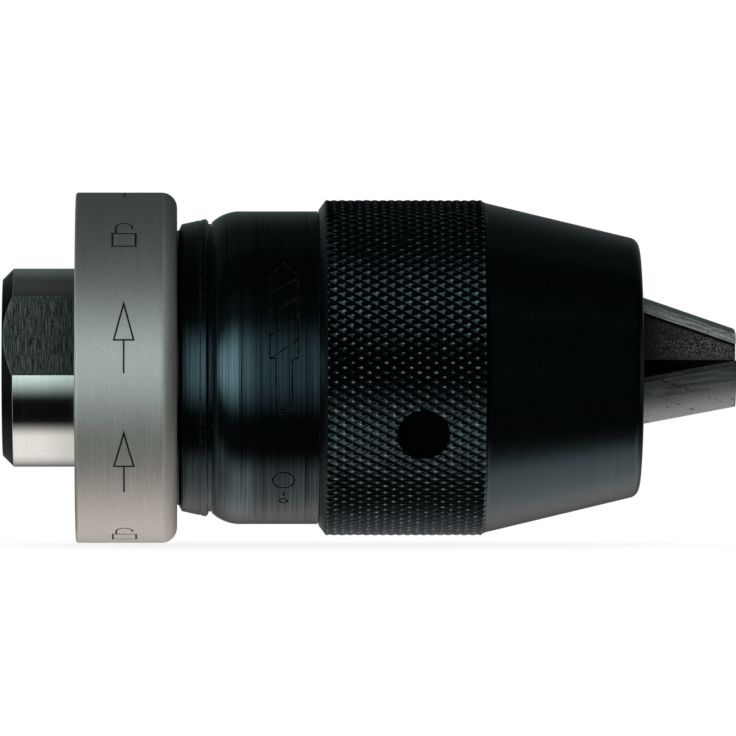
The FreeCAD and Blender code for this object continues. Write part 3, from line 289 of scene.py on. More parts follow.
def clamping_sleeve_skin():
    """The whole sleeve: chamfer, knurling, outer cone, nose, mouth, jaw cone and threaded bore."""
    low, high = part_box("clamping_sleeve")
    rear = low.x / MM
    front = high.x / MM
    radius = high.z / MM
    rows = 2 * KNURL_STARTS
    points = []
    faces = []
    knurl_start = rear + REAR_CHAMFER
    chains = knurl_diamonds(knurl_start, radius, points, faces)

    def ring(place, height):
        first = len(points)
        for row in range(rows):
            points.append(around(place, height, math.pi * row / KNURL_STARTS))
        return first

    def band(one, other):
        for row in range(rows):
            after = (row + 1) % rows
            faces.append((one + row, one + after, other + after, other + row))

    def join_chain(chain_set, first):
        """Fills between a serrated chain and a plain ring."""
        for row, chain in chain_set:
            if chain_set is chains[1]:
                chain = chain[::-1]
            plain = [first + (row + step) % rows for step in (1, 0, -1)]
            faces.append(tuple(chain + plain))

    lean = math.radians(CONE_ANGLE)
    slope = math.tan(lean)
    cone_foot = radius - KNURL_DEPTH
    cone_start = rear + CONE_START
    nose_height = cone_foot - slope * (front - cone_start)
    nose = []
    turn_end = math.radians(90 - CONE_ANGLE)
    setback = NOSE_ROUND * math.tan(turn_end / 2)
    centre_x = front - NOSE_ROUND
    centre_r = nose_height - setback
    for step in range(NOSE_STEPS + 1):
        turn = lean + (math.pi / 2 - lean) * step / NOSE_STEPS
        nose.append((centre_x + NOSE_ROUND * math.sin(turn), centre_r + NOSE_ROUND * math.cos(turn)))
    jaw_slope = math.tan(math.radians(JAW_CONE_ANGLE))
    mouth = JAW_CONE_MOUTH + MOUTH_CHAMFER * MOUTH_WIDENING
    inner = JAW_CONE_MOUTH + MOUTH_CHAMFER * jaw_slope
    cone_end = front - (THREAD_BORE - JAW_CONE_MOUTH) / jaw_slope
    cone_length = nose[0][0] - cone_start
    cone_rings = (0.12, 0.24, 6.0, 12.0, cone_length - 0.4, cone_length - 0.1)
    chamfer_slope = REAR_CHAMFER_HEIGHT / REAR_CHAMFER
    chamfer_foot = radius - REAR_CHAMFER_HEIGHT
    profile = [(cone_start + length, cone_foot - slope * length) for length in cone_rings]
    profile += nose
    # Pairs of close rings keep the shading flat on the faces between them.
    profile += [
        (front, nose[-1][1] - 0.1),
        (front, nose[-1][1] - 0.3),
        (front, mouth + SHARP_BREAK),
        (front - SHARP_BREAK * 0.4, mouth),
        (front - MOUTH_CHAMFER, inner + SHARP_BREAK / 2),
        (front - MOUTH_CHAMFER - SHARP_BREAK, inner + SHARP_BREAK * jaw_slope),
        (cone_end, THREAD_BORE),
        (rear + SHARP_BREAK * 2, THREAD_BORE),
        (rear, THREAD_BORE + SHARP_BREAK * 2),
        (rear, chamfer_foot - SHARP_BREAK),
        (rear + 0.03, chamfer_foot + 0.04),
    ]
    profile += [(knurl_start - back, radius - back * chamfer_slope) for back in (0.42, 0.32)]
    rings = [ring(*place) for place in profile]
    for one, other in zip(rings, rings[1:]):
        band(one, other)
    join_chain(chains[1], rings[0])
    join_chain(chains[0], rings[-1])
    piece = mesh_object("clamping_sleeve_skin", points, faces, "sleeve")
    cutters = []
    for number, facing in enumerate(HOLE_FACINGS):
        direction = facing_direction(facing)
        floor = direction * (radius - HOLE_DEPTH) + Vector((rear + HOLE_PLACE, 0, 0))
        cutters.append(rod(f"hole_{number}", floor, direction, HOLE_RADIUS, HOLE_DEPTH + CUTTER_PLAY))
    subtract(piece, cutters)
    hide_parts("clamping_sleeve")
    return piece


def thread_cutter():
    """A closed bar with a V section that winds along the spindle bore."""
    section = (
        (-THREAD_HALF_MOUTH, THREAD_INSIDE),
        (THREAD_HALF_MOUTH, THREAD_INSIDE),
        (THREAD_HALF_ROOT, THREAD_ROOT),
        (-THREAD_HALF_ROOT, THREAD_ROOT),
    )
    corners = len(section)
    steps = round((THREAD_END - THREAD_START) / THREAD_PITCH * THREAD_STEPS)
    points = []
    faces = [(3, 2, 1, 0), tuple(corners * steps + corner for corner in range(corners))]
    for step in range(steps + 1):
        turn = 2 * math.pi * step / THREAD_STEPS
        place = THREAD_START + THREAD_PITCH * step / THREAD_STEPS
        points += [around(place + x, r, turn) for x, r in section]
    for step in range(steps):
        low = corners * step
        high = low + corners
        for corner in range(corners):
            after = (corner + 1) % corners
            faces.append((low + corner, low + after, high + after, high + corner))
    return mesh_object("thread_cutter", points, faces, None)


def chuck_body_skin():
    """The chuck body, with the thread cut into its spindle bore."""
    solid = nodes["chuck_body"].data
    points = [vertex.co / MM for vertex in solid.vertices]
    faces = [tuple(face.vertices) for face in solid.polygons]
    piece = mesh_object("chuck_body_skin", points, faces, "chuck_body")
    subtract(piece, [thread_cutter()])
    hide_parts("chuck_body")
    return piece


# Materials

# The usual range of a noise
NOISE_LOW = 0.3
NOISE_HIGH = 0.7


class Tree:
    """A small layer over a node tree, so that formulas read like formulas."""

    def __init__(self, owner):
        owner.use_nodes = True
        self.nodes = owner.node_tree.nodes
        self.links = owner.node_tree.links
        self.nodes.clear()

    def add(self, kind, **settings):
        node = self.nodes.new(kind)
        for name, value in settings.items():
            setattr(node, name, value)
        return node

    def feed(self, socket, value):
        if isinstance(value, bpy.types.NodeSocket):
            self.links.new(value, socket)
        else:
            socket.default_value = value

    def math(self, operation, *values):
        node = self.add("ShaderNodeMath", operation=operation)
        for socket, value in zip(node.inputs, values):
            self.feed(socket, value)
        return node.outputs[0]

    def plus(self, *values):
        total = values[0]
        for value in values[1:]:
            total = self.math("ADD", total, value)
        return total

    def times(self, *values):
        total = values[0]
        for value in values[1:]:
            total = self.math("MULTIPLY", total, value)
        return total

    def ramp(self, shape, *values):
        """The given numbers are the value, its start and end, and the low and high results."""
        node = self.add("ShaderNodeMapRange", interpolation_type=shape)
        for name, given in zip(("Value", "From Min", "From Max", "To Min", "To Max"), values):
            self.feed(node.inputs[name], given)
        return node.outputs[0]

    def step(self, value, start, end, low=0.0, high=1.0):
        """Goes smoothly from low to high while value goes from start to end."""
        return self.ramp("SMOOTHSTEP", value, start, end, low, high)

    def spread(self, value, start, end, low, high):
        """Goes evenly from low to high while value goes from start to end."""
        return self.ramp("LINEAR", value, start, end, low, high)

    def vary(self, noise, low, high):
        """Goes evenly from low to high over the usual range of a noise."""
        return self.spread(noise, NOISE_LOW, NOISE_HIGH, low, high)

    def less(self, value, share=1.0):
        """1 minus a share of a value."""
        return self.plus(1.0, self.times(value, -share))

    def vector(self, x, y, z):
        node = self.add("ShaderNodeCombineXYZ")
        for socket, value in zip(node.inputs, (x, y, z)):
            self.feed(socket, value)
        return node.outputs[0]

    def noise(self, vector, scale=1.0, detail=2.0, roughness=0.5):
        node = self.add("ShaderNodeTexNoise")
        self.feed(node.inputs["Vector"], vector)
        node.inputs["Scale"].default_value = scale
        node.inputs["Detail"].default_value = detail
        node.inputs["Roughness"].default_value = roughness
        return node.outputs["Fac"]

    def mix(self, share, one, other):
        node = self.add("ShaderNodeMix", data_type="RGBA")
        self.feed(node.inputs["Factor"], share)
        self.feed(node.inputs["A"], one)
        self.feed(node.inputs["B"], other)
        return node.outputs["Result"]

    def bump(self, height, distance, normal=None):
        node = self.add("ShaderNodeBump")
        node.inputs["Distance"].default_value = distance * MM
        node.inputs["Strength"].default_value = 1.0
        self.feed(node.inputs["Height"], height)
        if normal is not None:
            self.links.new(normal, node.inputs["Normal"])
        return node.outputs["Normal"]


def colour(red, green, blue):
    """A colour as a node socket takes it."""
    return (red, green, blue, 1.0)


def scaled(tint, light):
    """The colour of a tint, times a brightness."""
    return colour(*(light * part for part in tint))


class Steel(Tree):
    """A steel surface described in the part's own frame, in millimetres."""

    def __init__(self, name):
        self.material = bpy.data.materials.new(name)
        super().__init__(self.material)
        place = self.add("ShaderNodeTexCoord").outputs["Object"]
        split = self.add("ShaderNodeSeparateXYZ")
        self.links.new(place, split.inputs[0])
        self.x = self.times(split.outputs[0], 1 / MM)
        self.y = self.times(split.outputs[1], 1 / MM)
        self.z = self.times(split.outputs[2], 1 / MM)
        squares = self.plus(self.times(self.y, self.y), self.times(self.z, self.z))
        self.radius = self.math("SQRT", squares)
        safe = self.math("MAXIMUM", self.radius, 0.01)
        self.cosine = self.math("DIVIDE", self.y, safe)
        self.sine = self.math("DIVIDE", self.z, safe)

    def turned(self, per_mm, around_scale=1.2, detail=3.0):
        """Noise that runs round the axis, as a lathe tool leaves it."""
        along = self.times(self.plus(self.x, self.times(self.radius, 0.83)), per_mm)
        spot = self.vector(
            along, self.times(self.cosine, around_scale), self.times(self.sine, around_scale)
        )
        return self.noise(spot, 1.0, detail, 0.6)

    def grain(self, per_mm, detail=2.0):
        """Even noise."""
        return self.noise(self.vector(self.x, self.y, self.z), per_mm, detail, 0.6)

    def edges(self, radius):
        """Near 1 at convex and concave edges, 0 elsewhere."""
        bevel = self.add("ShaderNodeBevel", samples=4)
        bevel.inputs["Radius"].default_value = radius * MM
        plain = self.add("ShaderNodeNewGeometry").outputs["Normal"]
        return self.step(self.dot(bevel.outputs["Normal"], plain), 0.995, 0.9)

    def dot(self, one, other):
        """Dot product of two directions."""
        node = self.add("ShaderNodeVectorMath", operation="DOT_PRODUCT")
        self.feed(node.inputs[0], one)
        self.feed(node.inputs[1], other)
        return node.outputs["Value"]

    def carried(self, normal, source, target):
        """A normal carried between the world's frame and the part's own."""
        node = self.add("ShaderNodeVectorTransform", vector_type="NORMAL")
        node.convert_from = source
        node.convert_to = target
        self.links.new(normal, node.inputs[0])
        return node.outputs[0]

    def face_towards(self, direction, least=0.998):
        """1 on flat faces whose normal lies along a direction of the part's own frame, either way."""
        plain = self.add("ShaderNodeNewGeometry").outputs["True Normal"]
        amount = self.math("ABSOLUTE", self.dot(self.carried(plain, "WORLD", "OBJECT"), direction))
        return self.math("GREATER_THAN", amount, least)

    def lathe_normal(self, share=1.0):
        """The normal of a turned surface, without the small sideways errors that its facets cause."""
        smooth = self.add("ShaderNodeNewGeometry").outputs["Normal"]
        normal = self.carried(smooth, "WORLD", "OBJECT")
        sideways = self.vector(0.0, self.times(self.sine, -1.0), self.cosine)
        slip = self.dot(normal, sideways)
        small = self.step(self.math("ABSOLUTE", slip), 0.12, 0.08)
        remove = self.add("ShaderNodeVectorMath", operation="SCALE")
        self.feed(remove.inputs[0], sideways)
        self.feed(remove.inputs["Scale"], self.times(slip, small, share, -1.0))
        total = self.add("ShaderNodeVectorMath", operation="ADD")
        self.feed(total.inputs[0], normal)
        self.feed(total.inputs[1], remove.outputs[0])
        return self.carried(total.outputs[0], "OBJECT", "WORLD")

    def engraved(self, outside):
        """1 where the surface lies slightly below a cylinder, as in the engraved marks."""
        return self.times(
            self.step(self.radius, outside - 0.02, outside - 0.05),
            self.step(self.radius, outside - 0.3, outside - 0.25),
        )

    def surface(self, base, metal, roughness, normal, stretch=0.0, specular=0.5, tint=None):
        """Finishes the material. A stretch draws its highlights out across the turned lines."""
        shader = self.add("ShaderNodeBsdfPrincipled")
        self.feed(shader.inputs["Base Color"], base)
        self.feed(shader.inputs["Metallic"], metal)
        self.feed(shader.inputs["Roughness"], roughness)
        self.feed(shader.inputs["Specular IOR Level"], specular)
        if tint is not None:
            shader.inputs["Specular Tint"].default_value = tint
        if stretch:
            shader.inputs["Anisotropic"].default_value = stretch
            shader.inputs["Anisotropic Rotation"].default_value = 0.25
            tangent = self.add("ShaderNodeTangent", direction_type="RADIAL", axis="X")
            self.links.new(tangent.outputs[0], shader.inputs["Tangent"])
        self.links.new(normal, shader.inputs["Normal"])
        output = self.add("ShaderNodeOutputMaterial")
        self.links.new(shader.outputs[0], output.inputs["Surface"])
        return self.material


# Colours of the release ring, with its painted sheen and painted highlight line, and how metallic it is
# outside its painted marks
SATIN_DARK = colour(0.545, 0.50, 0.475)
SATIN_LIGHT = colour(0.605, 0.555, 0.53)
SATIN_LINE = colour(0.665, 0.615, 0.585)
# Painted sheen: lighter satin where the light falls on the ring
SATIN_PAINTED_SHEEN = colour(0.88, 0.82, 0.78)
SATIN_PIT = colour(0.30, 0.29, 0.28)
# Painted highlight line on the blasted steel at the start of the rounding
RIM_PAINTED_HIGHLIGHT = colour(0.8, 0.78, 0.75)
MARK_PAINT = colour(0.004, 0.004, 0.004)
SATIN_METAL = 0.88

# Colours of the black oxide. The tint is that of its reflections.
BLACK_DARK = colour(0.0010, 0.0014, 0.0016)
BLACK_LIGHT = colour(0.0024, 0.0032, 0.0036)
BLACK_TINT = colour(0.56, 0.86, 1.0)
WORN_GREY = colour(0.16, 0.16, 0.16)
WORN_TIP = colour(0.30, 0.33, 0.33)

# Colours of the hub
GROUND_DARK = colour(0.74, 0.74, 0.72)
GROUND_LIGHT = colour(0.84, 0.84, 0.81)
GROUND_SPECK = colour(0.60, 0.60, 0.58)
# Painted shade on the ground steel near the ring
GROUND_PAINTED_SHADE = colour(0.34, 0.34, 0.33)
MILLED_DARK = colour(0.03, 0.034, 0.032)
MILLED_LIGHT = colour(0.44, 0.47, 0.45)
MILLED_DARKER = colour(0.03, 0.033, 0.031)
# Painted shade: the chamfer is painted near black for the dark reflection it shows
CHAMFER_PAINTED_SHADE = colour(0.02, 0.022, 0.022)
# Worn edges, lightened also as a painted highlight
HUB_EDGE_WEAR_AND_HIGHLIGHT = colour(0.75, 0.76, 0.74)

# Colours of the jaws. The tints are multiplied by a painted light for each jaw, which makes the same jaws
# lighter or darker as the light falls on them.
CROWN_DARK = (0.13, 0.14, 0.145)
CROWN_LIGHT = (0.46, 0.48, 0.485)
CROWN_SPECK = colour(0.55, 0.56, 0.55)
CROWN_SCRATCH = colour(0.03, 0.03, 0.03)
CROWN_PAINTED_LIGHT = (0.95, 1.9, 1.3)
WEB_DARK = colour(0.012, 0.010, 0.009)
WEB_LIGHT = colour(0.19, 0.17, 0.155)
WING_DARK = colour(0.035, 0.03, 0.03)
WING_LIGHT = (1.0, 0.9, 0.88)
WING_SPECK = colour(0.06, 0.05, 0.05)
WING_PAINTED_LIGHT = (0.95, 0.52, 0.7)
JAW_SHADE = colour(0.004, 0.004, 0.004)
# Worn edges, lightened also as a painted highlight
JAW_EDGE_WEAR_AND_HIGHLIGHT = colour(0.55, 0.55, 0.54)

# Tints of the inner parts
STEEL_TINT = (1.0, 1.0, 1.0)
BRASS_TINT = (1.0, 0.76, 0.4)


def ring_finish():
    """Satin turned steel with a blasted front rounding, and black paint in the engraved marks.

    The satin carries a painted sheen, lighter in three places round the ring where the light falls,
    and a painted highlight line runs round the start of the blasted rounding.
    """
    steel = Steel("ring_finish")
    low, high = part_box("release_ring")
    middle = (low.x + high.x) / 2 / MM
    rounding = high.x / MM - RING_ROUNDING
    fine = steel.turned(6.0, 2.0)
    broad = steel.turned(0.8, 0.6)
    grit = steel.grain(4.5, 4.0)
    blasted = steel.step(steel.x, rounding - 0.1, rounding + 0.15)
    # Painted highlight: a thin light line where the blasted rounding starts, broken up by grit
    painted_highlight_rim = steel.times(blasted, steel.step(steel.x, rounding + 0.5, rounding + 0.1))
    base = steel.mix(broad, SATIN_DARK, SATIN_LIGHT)
    base = steel.mix(steel.step(fine, 0.64, 0.54), SATIN_LINE, base)
    # Painted sheen: three lighter lobes round the axis, on the ring's upper front and bottom, stand in for
    # light
    painted_sheen_lobes = steel.times(steel.sine, steel.plus(3.0, steel.times(steel.sine, steel.sine, -4.0)))
    base = steel.mix(steel.spread(painted_sheen_lobes, -1.0, 1.0, 0.0, 0.85), base, SATIN_PAINTED_SHEEN)
    speckle = steel.step(grit, 0.35, 0.65)
    base = steel.mix(steel.times(speckle, 0.22), base, SATIN_PIT)
    base = steel.mix(steel.times(painted_highlight_rim, steel.step(grit, 0.4, 0.6), 0.8), base, RIM_PAINTED_HIGHLIGHT)
    roughness = steel.plus(steel.vary(fine, 0.50, 0.60), steel.times(blasted, 0.12))
    off_middle = steel.math("ABSOLUTE", steel.plus(steel.x, -middle))
    on_wall = steel.step(off_middle, MARK_HALF_LENGTH, MARK_HALF_LENGTH - 0.1)
    paint = steel.times(on_wall, steel.engraved(high.z / MM))
    base = steel.mix(paint, base, MARK_PAINT)
    metal = steel.plus(SATIN_METAL, steel.times(paint, -SATIN_METAL))
    height = steel.plus(
        steel.times(fine, 0.5),
        steel.times(broad, 0.3),
        steel.times(grit, steel.plus(0.5, steel.times(blasted, 1.2))),
    )
    return steel.surface(base, metal, roughness, steel.bump(height, 0.006, steel.lathe_normal()), 0.1)


def black_finish(name, streaks=1.0, seed=0.0, outside=None, gloss=(0.45, 0.45), span=(0.0, 1.0)):
    """Black oxide on turned steel: almost black, glossy, with thin circumferential lines and worn edges.

    The gloss goes from its first to its second value along a span of X. With an outside radius, marks
    engraved below it are matte.
    """
    steel = Steel(name)
    fine = steel.turned(8.0 + seed, 0.6, 2.0)
    lines = steel.turned(3.3 + seed, 0.5, 2.0)
    broad = steel.turned(0.9 + seed * 0.1, 0.4)
    spots = steel.grain(2.4, 4.0)
    wear = steel.times(steel.edges(0.12), steel.step(spots, 0.42, 0.62))
    base = steel.mix(spots, BLACK_DARK, BLACK_LIGHT)
    base = steel.mix(steel.times(wear, 0.7), base, WORN_GREY)
    roughness = steel.plus(steel.vary(fine, 0.13, 0.2), steel.vary(spots, -0.02, 0.03))
    share = steel.plus(
        1.0,
        steel.spread(fine, 0.35, 0.65, -0.42 * streaks, 0.42 * streaks),
        steel.vary(broad, -0.2 * streaks, 0.2 * streaks),
    )
    scored = steel.step(lines, 0.38, 0.34)
    share = steel.times(share, steel.less(scored, 0.75))
    level = steel.times(steel.step(steel.x, *span, *gloss), share)
    if outside is not None:
        marks = steel.times(steel.engraved(outside), steel.step(steel.x, span[0], span[0] + 0.1))
        level = steel.times(level, steel.less(marks, 0.95))
    normal = steel.bump(steel.plus(fine, broad), 0.01 * streaks, steel.lathe_normal())
    return steel.surface(base, steel.times(wear, 0.6), roughness, normal, 0.0, level, BLACK_TINT)


def knurl_finish():
    """Black oxide on the clamping sleeve: satin cone, matte grooves and grey, worn tips on the diamonds."""
    steel = Steel("knurl_finish")
    low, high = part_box("clamping_sleeve")
    outside = high.z / MM
    rear = low.x / MM
    inside_zone = steel.times(
        steel.step(steel.x, rear + REAR_CHAMFER - 0.1, rear + REAR_CHAMFER),
        steel.step(steel.x, rear + CONE_START, rear + CONE_START - 0.2),
    )
    plain_zone = steel.less(inside_zone)
    spots = steel.grain(1.7, 3.0)
    grit = steel.grain(5.0, 3.0)
    fine = steel.turned(3.0, 0.7)
    tip = steel.step(steel.radius, outside - 0.06, outside - 0.02)
    worn = steel.times(tip, inside_zone, steel.step(spots, 0.36, 0.62))
    edge = steel.times(steel.edges(0.12), steel.step(spots, 0.45, 0.65), plain_zone)
    base = steel.mix(spots, BLACK_DARK, BLACK_LIGHT)
    base = steel.mix(worn, base, WORN_TIP)
    base = steel.mix(steel.times(edge, 0.7), base, WORN_GREY)
    roughness = steel.plus(
        steel.vary(grit, 0.19, 0.28),
        steel.times(inside_zone, 0.01),
        steel.times(worn, 0.12),
    )
    level = steel.plus(0.67, steel.vary(fine, -0.05, 0.05), steel.vary(grit, -0.1, 0.1))
    groove = steel.step(steel.radius, outside - 0.32, outside - 0.15, 0.06, 0.62)
    matte = steel.plus(plain_zone, steel.times(inside_zone, groove))
    in_holes = steel.step(steel.radius, outside - 2.2, outside - 1.6, 0.15, 1.0)
    in_holes = steel.math("MAXIMUM", in_holes, plain_zone)
    level = steel.times(level, in_holes, matte)
    height = steel.plus(
        steel.times(fine, plain_zone, 0.25),
        steel.times(grit, steel.plus(0.06, steel.times(inside_zone, 1.4))),
    )
    normal = steel.bump(height, 0.01)
    metal = steel.times(steel.math("MAXIMUM", worn, edge), 0.75)
    return steel.surface(base, metal, roughness, normal, 0.0, level, BLACK_TINT)


def hub_finish():
    """Bright ground hub with painted shade near the ring, dark milled flats with cutter lines that darken
    towards the ring, a chamfer painted near black as shade, and edges lightened as wear and as painted
    highlight.
    """
    steel = Steel("hub_finish")
    flat = steel.face_towards(facing_direction(FLAT_FACING), 0.9998)
    flat = steel.times(flat, steel.step(steel.x, FLAT_END, FLAT_END - 0.1))
    plain = steel.add("ShaderNodeNewGeometry").outputs["True Normal"]
    lean = steel.math("ABSOLUTE", steel.dot(plain, (1.0, 0.0, 0.0)))
    chamfer = steel.times(steel.step(lean, 0.3, 0.5), steel.step(lean, 0.95, 0.85))
    turn = math.radians(FLAT_FACING)
    across = steel.plus(steel.times(steel.y, math.sin(turn)), steel.times(steel.z, math.cos(turn)))
    cutter = steel.noise(
        steel.vector(steel.times(steel.x, 10.0), steel.times(across, 0.4), 0.0), 1.0, 3.0, 0.7
    )
    grit = steel.grain(7.0, 3.0)
    fine = steel.turned(4.0, 1.0)
    broad = steel.turned(1.0, 0.8)
    base = steel.mix(broad, GROUND_DARK, GROUND_LIGHT)
    base = steel.mix(steel.step(grit, 0.58, 0.68), base, GROUND_SPECK)
    milled = steel.mix(
        steel.step(steel.plus(steel.times(cutter, 0.7), steel.times(grit, 0.3)), 0.42, 0.62),
        MILLED_DARK,
        MILLED_LIGHT,
    )
    # The milled flats grow darker towards the ring
    milled = steel.mix(steel.step(steel.x, *FLAT_DARKENING, 0.0, 0.5), milled, MILLED_DARKER)
    # Painted shade: the ground steel darkens towards the ring, which shades it
    base = steel.mix(steel.step(steel.x, *HUB_PAINTED_SHADE_SPAN, 0.0, 0.35), base, GROUND_PAINTED_SHADE)
    base = steel.mix(flat, base, milled)
    # Painted shade: the chamfer is painted near black in place of a dark reflection
    base = steel.mix(chamfer, base, CHAMFER_PAINTED_SHADE)
    # Worn edges, lightened in colour also as a painted highlight along the flats' edges
    wear = steel.edges(0.14)
    base = steel.mix(steel.times(wear, 0.8), base, HUB_EDGE_WEAR_AND_HIGHLIGHT)
    roughness = steel.plus(
        steel.vary(fine, 0.09, 0.13),
        steel.step(grit, 0.5, 0.7, 0.0, 0.06),
        steel.times(flat, steel.vary(grit, 0.2, 0.36)),
        steel.times(chamfer, 0.25),
        steel.times(wear, 0.3),
    )
    ground = steel.bump(fine, 0.002, steel.lathe_normal(steel.less(flat)))
    marks = steel.times(flat, steel.plus(cutter, steel.times(grit, 0.5)))
    normal = steel.bump(marks, 0.03, ground)
    metal = steel.less(wear, 0.7)
    return steel.surface(base, metal, roughness, normal)


def jaw_finish(number):
    """Dark hardened steel, ground along the jaw on its crown and wings.

    The web is nearly black, with painted shade near the nose that lifts towards its tip and a painted
    shadow just under the wings. The faces below the wings are painted black as shade, each jaw is painted
    lighter or darker by how the light falls on it, and its worn edges are lightened also as a painted
    highlight.
    """
    steel = Steel(f"jaw_{number}_finish")
    turn = JAW_FACING + 120 * (number - 1)
    sideways = facing_direction(turn + 90)
    outward = facing_direction(turn)
    lean = math.radians(JAW_CONE_ANGLE)
    side = steel.face_towards(sideways, 0.9997)
    offset = steel.math(
        "ABSOLUTE", steel.plus(steel.times(steel.y, sideways[1]), steel.times(steel.z, sideways[2]))
    )
    crest = steel.plus(
        steel.times(steel.y, outward[1]),
        steel.times(steel.z, outward[2]),
        steel.times(steel.x, math.tan(lean)),
    )
    wing = steel.times(side, steel.step(offset, WING_HALF - 0.15, WING_HALF - 0.05))
    web = steel.plus(side, steel.times(wing, -1.0))
    below = (math.sin(lean), math.cos(lean) * outward[1], math.cos(lean) * outward[2])
    underside = steel.times(
        steel.face_towards(below),
        steel.step(offset, WEB_HALF, WEB_HALF + 0.05),
        steel.step(offset, WING_HALF, WING_HALF - 0.02),
        steel.step(crest, WING_FOOT + 0.3, WING_FOOT + 0.1),
    )
    spots = steel.grain(1.4, 5.0)
    speckle = steel.grain(6.0, 3.0)
    ground = steel.noise(
        steel.vector(
            steel.times(steel.x, 0.25), steel.times(steel.cosine, 26.0), steel.times(steel.sine, 26.0)
        ),
        1.0,
        3.0,
    )
    wander = steel.times(spots, 1.3)
    slant = steel.plus(steel.times(steel.x, 0.75), steel.times(steel.z, 2.2), wander)
    scratched = steel.times(
        steel.step(steel.noise(steel.vector(slant, wander, 0.0), 1.6, 2.0), 0.40, 0.36),
        steel.step(spots, 0.5, 0.62),
    )
    shown = steel.plus(1.0, steel.times(web, -1.0), steel.times(underside, -1.0))
    worn = steel.times(steel.edges(0.14), steel.step(spots, 0.3, 0.55), shown)
    # Painted light: each jaw's crown is made lighter or darker by how the light falls on it
    light = CROWN_PAINTED_LIGHT[number - 1]
    crown = steel.mix(ground, scaled(CROWN_DARK, light), scaled(CROWN_LIGHT, light))
    crown = steel.mix(steel.step(speckle, 0.58, 0.7), crown, CROWN_SPECK)
    crown = steel.mix(steel.times(scratched, 0.85), crown, CROWN_SCRATCH)
    # Painted shade: the web is darker near the nose, where it runs into the sleeve, and lifts towards the
    # tip
    out_of_painted_shade = steel.step(steel.x, *WEB_PAINTED_SHADE_SPAN, 0.15, 1.0)
    dark = steel.mix(steel.times(steel.step(speckle, 0.4, 0.7), out_of_painted_shade), WEB_DARK, WEB_LIGHT)
    streaks = steel.noise(steel.vector(steel.times(steel.x, 0.3), steel.times(crest, 6.0), 0.0), 1.0, 4.0)
    low_wing = steel.step(crest, WING_FOOT + 1.4, WING_FOOT + 0.5, 0.0, 0.3)
    streaks = steel.times(steel.plus(steel.spread(streaks, 0.36, 0.64, 0.0, 0.7), low_wing), wing)
    # Painted light on the wings, one strength per jaw
    ridged = steel.mix(streaks, WING_DARK, scaled(WING_LIGHT, WING_PAINTED_LIGHT[number - 1]))
    ridged = steel.mix(steel.times(steel.step(speckle, 0.42, 0.62), 0.6), ridged, WING_SPECK)
    # Painted shadow: a dark line on the web just under the wings
    dark = steel.mix(steel.step(crest, WING_FOOT - 0.7, WING_FOOT - 0.25), dark, JAW_SHADE)
    base = steel.mix(web, crown, dark)
    base = steel.mix(wing, base, ridged)
    # Painted shade: the faces below the wings are painted near black
    base = steel.mix(underside, base, JAW_SHADE)
    # Worn edges, lightened in colour also as a painted edge highlight
    base = steel.mix(steel.times(worn, 0.8), base, JAW_EDGE_WEAR_AND_HIGHLIGHT)
    roughness = steel.vary(ground, 0.36, 0.55)
    height = steel.plus(ground, steel.times(spots, 0.7), steel.times(speckle, 0.3), streaks)
    return steel.surface(base, 0.95, roughness, steel.bump(height, 0.014))


def plain_finish(name, light, roughness, tint=STEEL_TINT):
    """Bare machined metal of the inner parts, with turned lines."""
    steel = Steel(name)
    fine = steel.turned(8.0, 1.0)
    spots = steel.grain(1.3, 4.0)
    base = steel.mix(spots, scaled(tint, light * 0.7), scaled(tint, light))
    rough = steel.vary(fine, roughness * 0.8, roughness * 1.25)
    normal = steel.bump(steel.plus(fine, steel.times(spots, 0.3)), 0.004)
    return steel.surface(base, 1.0, rough, normal, 0.3)


def paint(skins):
    """Gives every CAD node, or the skin that replaces it, the finish of its kind."""
    sleeve_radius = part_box("rear_sleeve")[1].z / MM
    finishes = {
        "clamping_sleeve": knurl_finish(),
        "chuck_body": hub_finish(),
        "release_ring": ring_finish(),
        "bearing_nut": black_finish("nut_finish", 1.2, 1.0, gloss=(0.47, 0.47)),
        "rear_sleeve": black_finish(
            "rear_sleeve_finish", outside=sleeve_radius, gloss=(0.95, 0.43), span=REAR_SLEEVE_END
        ),
        "ring_circlip": black_finish("circlip_finish", 0.6, 2.0),
        **{f"jaw_{number}": jaw_finish(number) for number in (1, 2, 3)},
        "ball_cage": plain_finish("cage_finish", 0.7, 0.3, BRASS_TINT),
    }
    machined = plain_finish("machined_finish", 0.45, 0.3)
    hardened = plain_finish("hardened_finish", 0.7, 0.12)
    hard_nodes = ("front_race", "rear_race", "bearing_balls", "pawl_pins", "stop_pin", "pawl_springs")
    hard_nodes += ("guide_dowels",)
    for name, node in nodes.items():
        finish = finishes.get(name, hardened if name in hard_nodes else machined)
        piece = skins.get(name, node)
        piece.data.materials.clear()
        piece.data.materials.append(finish)


# Light, floor and camera


# Colours of the light, its least strength everywhere, and its strength past both ends of the chuck
LAMP_COLOUR = colour(0.80, 1.0, 0.97)
TABLE_COLOUR = colour(1.0, 0.98, 0.93)
PAGE_WHITE = colour(1.0, 1.0, 1.0)
LEAST_LIGHT = 0.003
END_LIGHT = 0.16


def background(tree, tint, strength=1.0):
    """Light of one colour from every direction, as strong as a formula says."""
    node = tree.add("ShaderNodeBackground")
    node.inputs["Color"].default_value = tint
    tree.feed(node.inputs["Strength"], strength)
    return node.outputs[0]


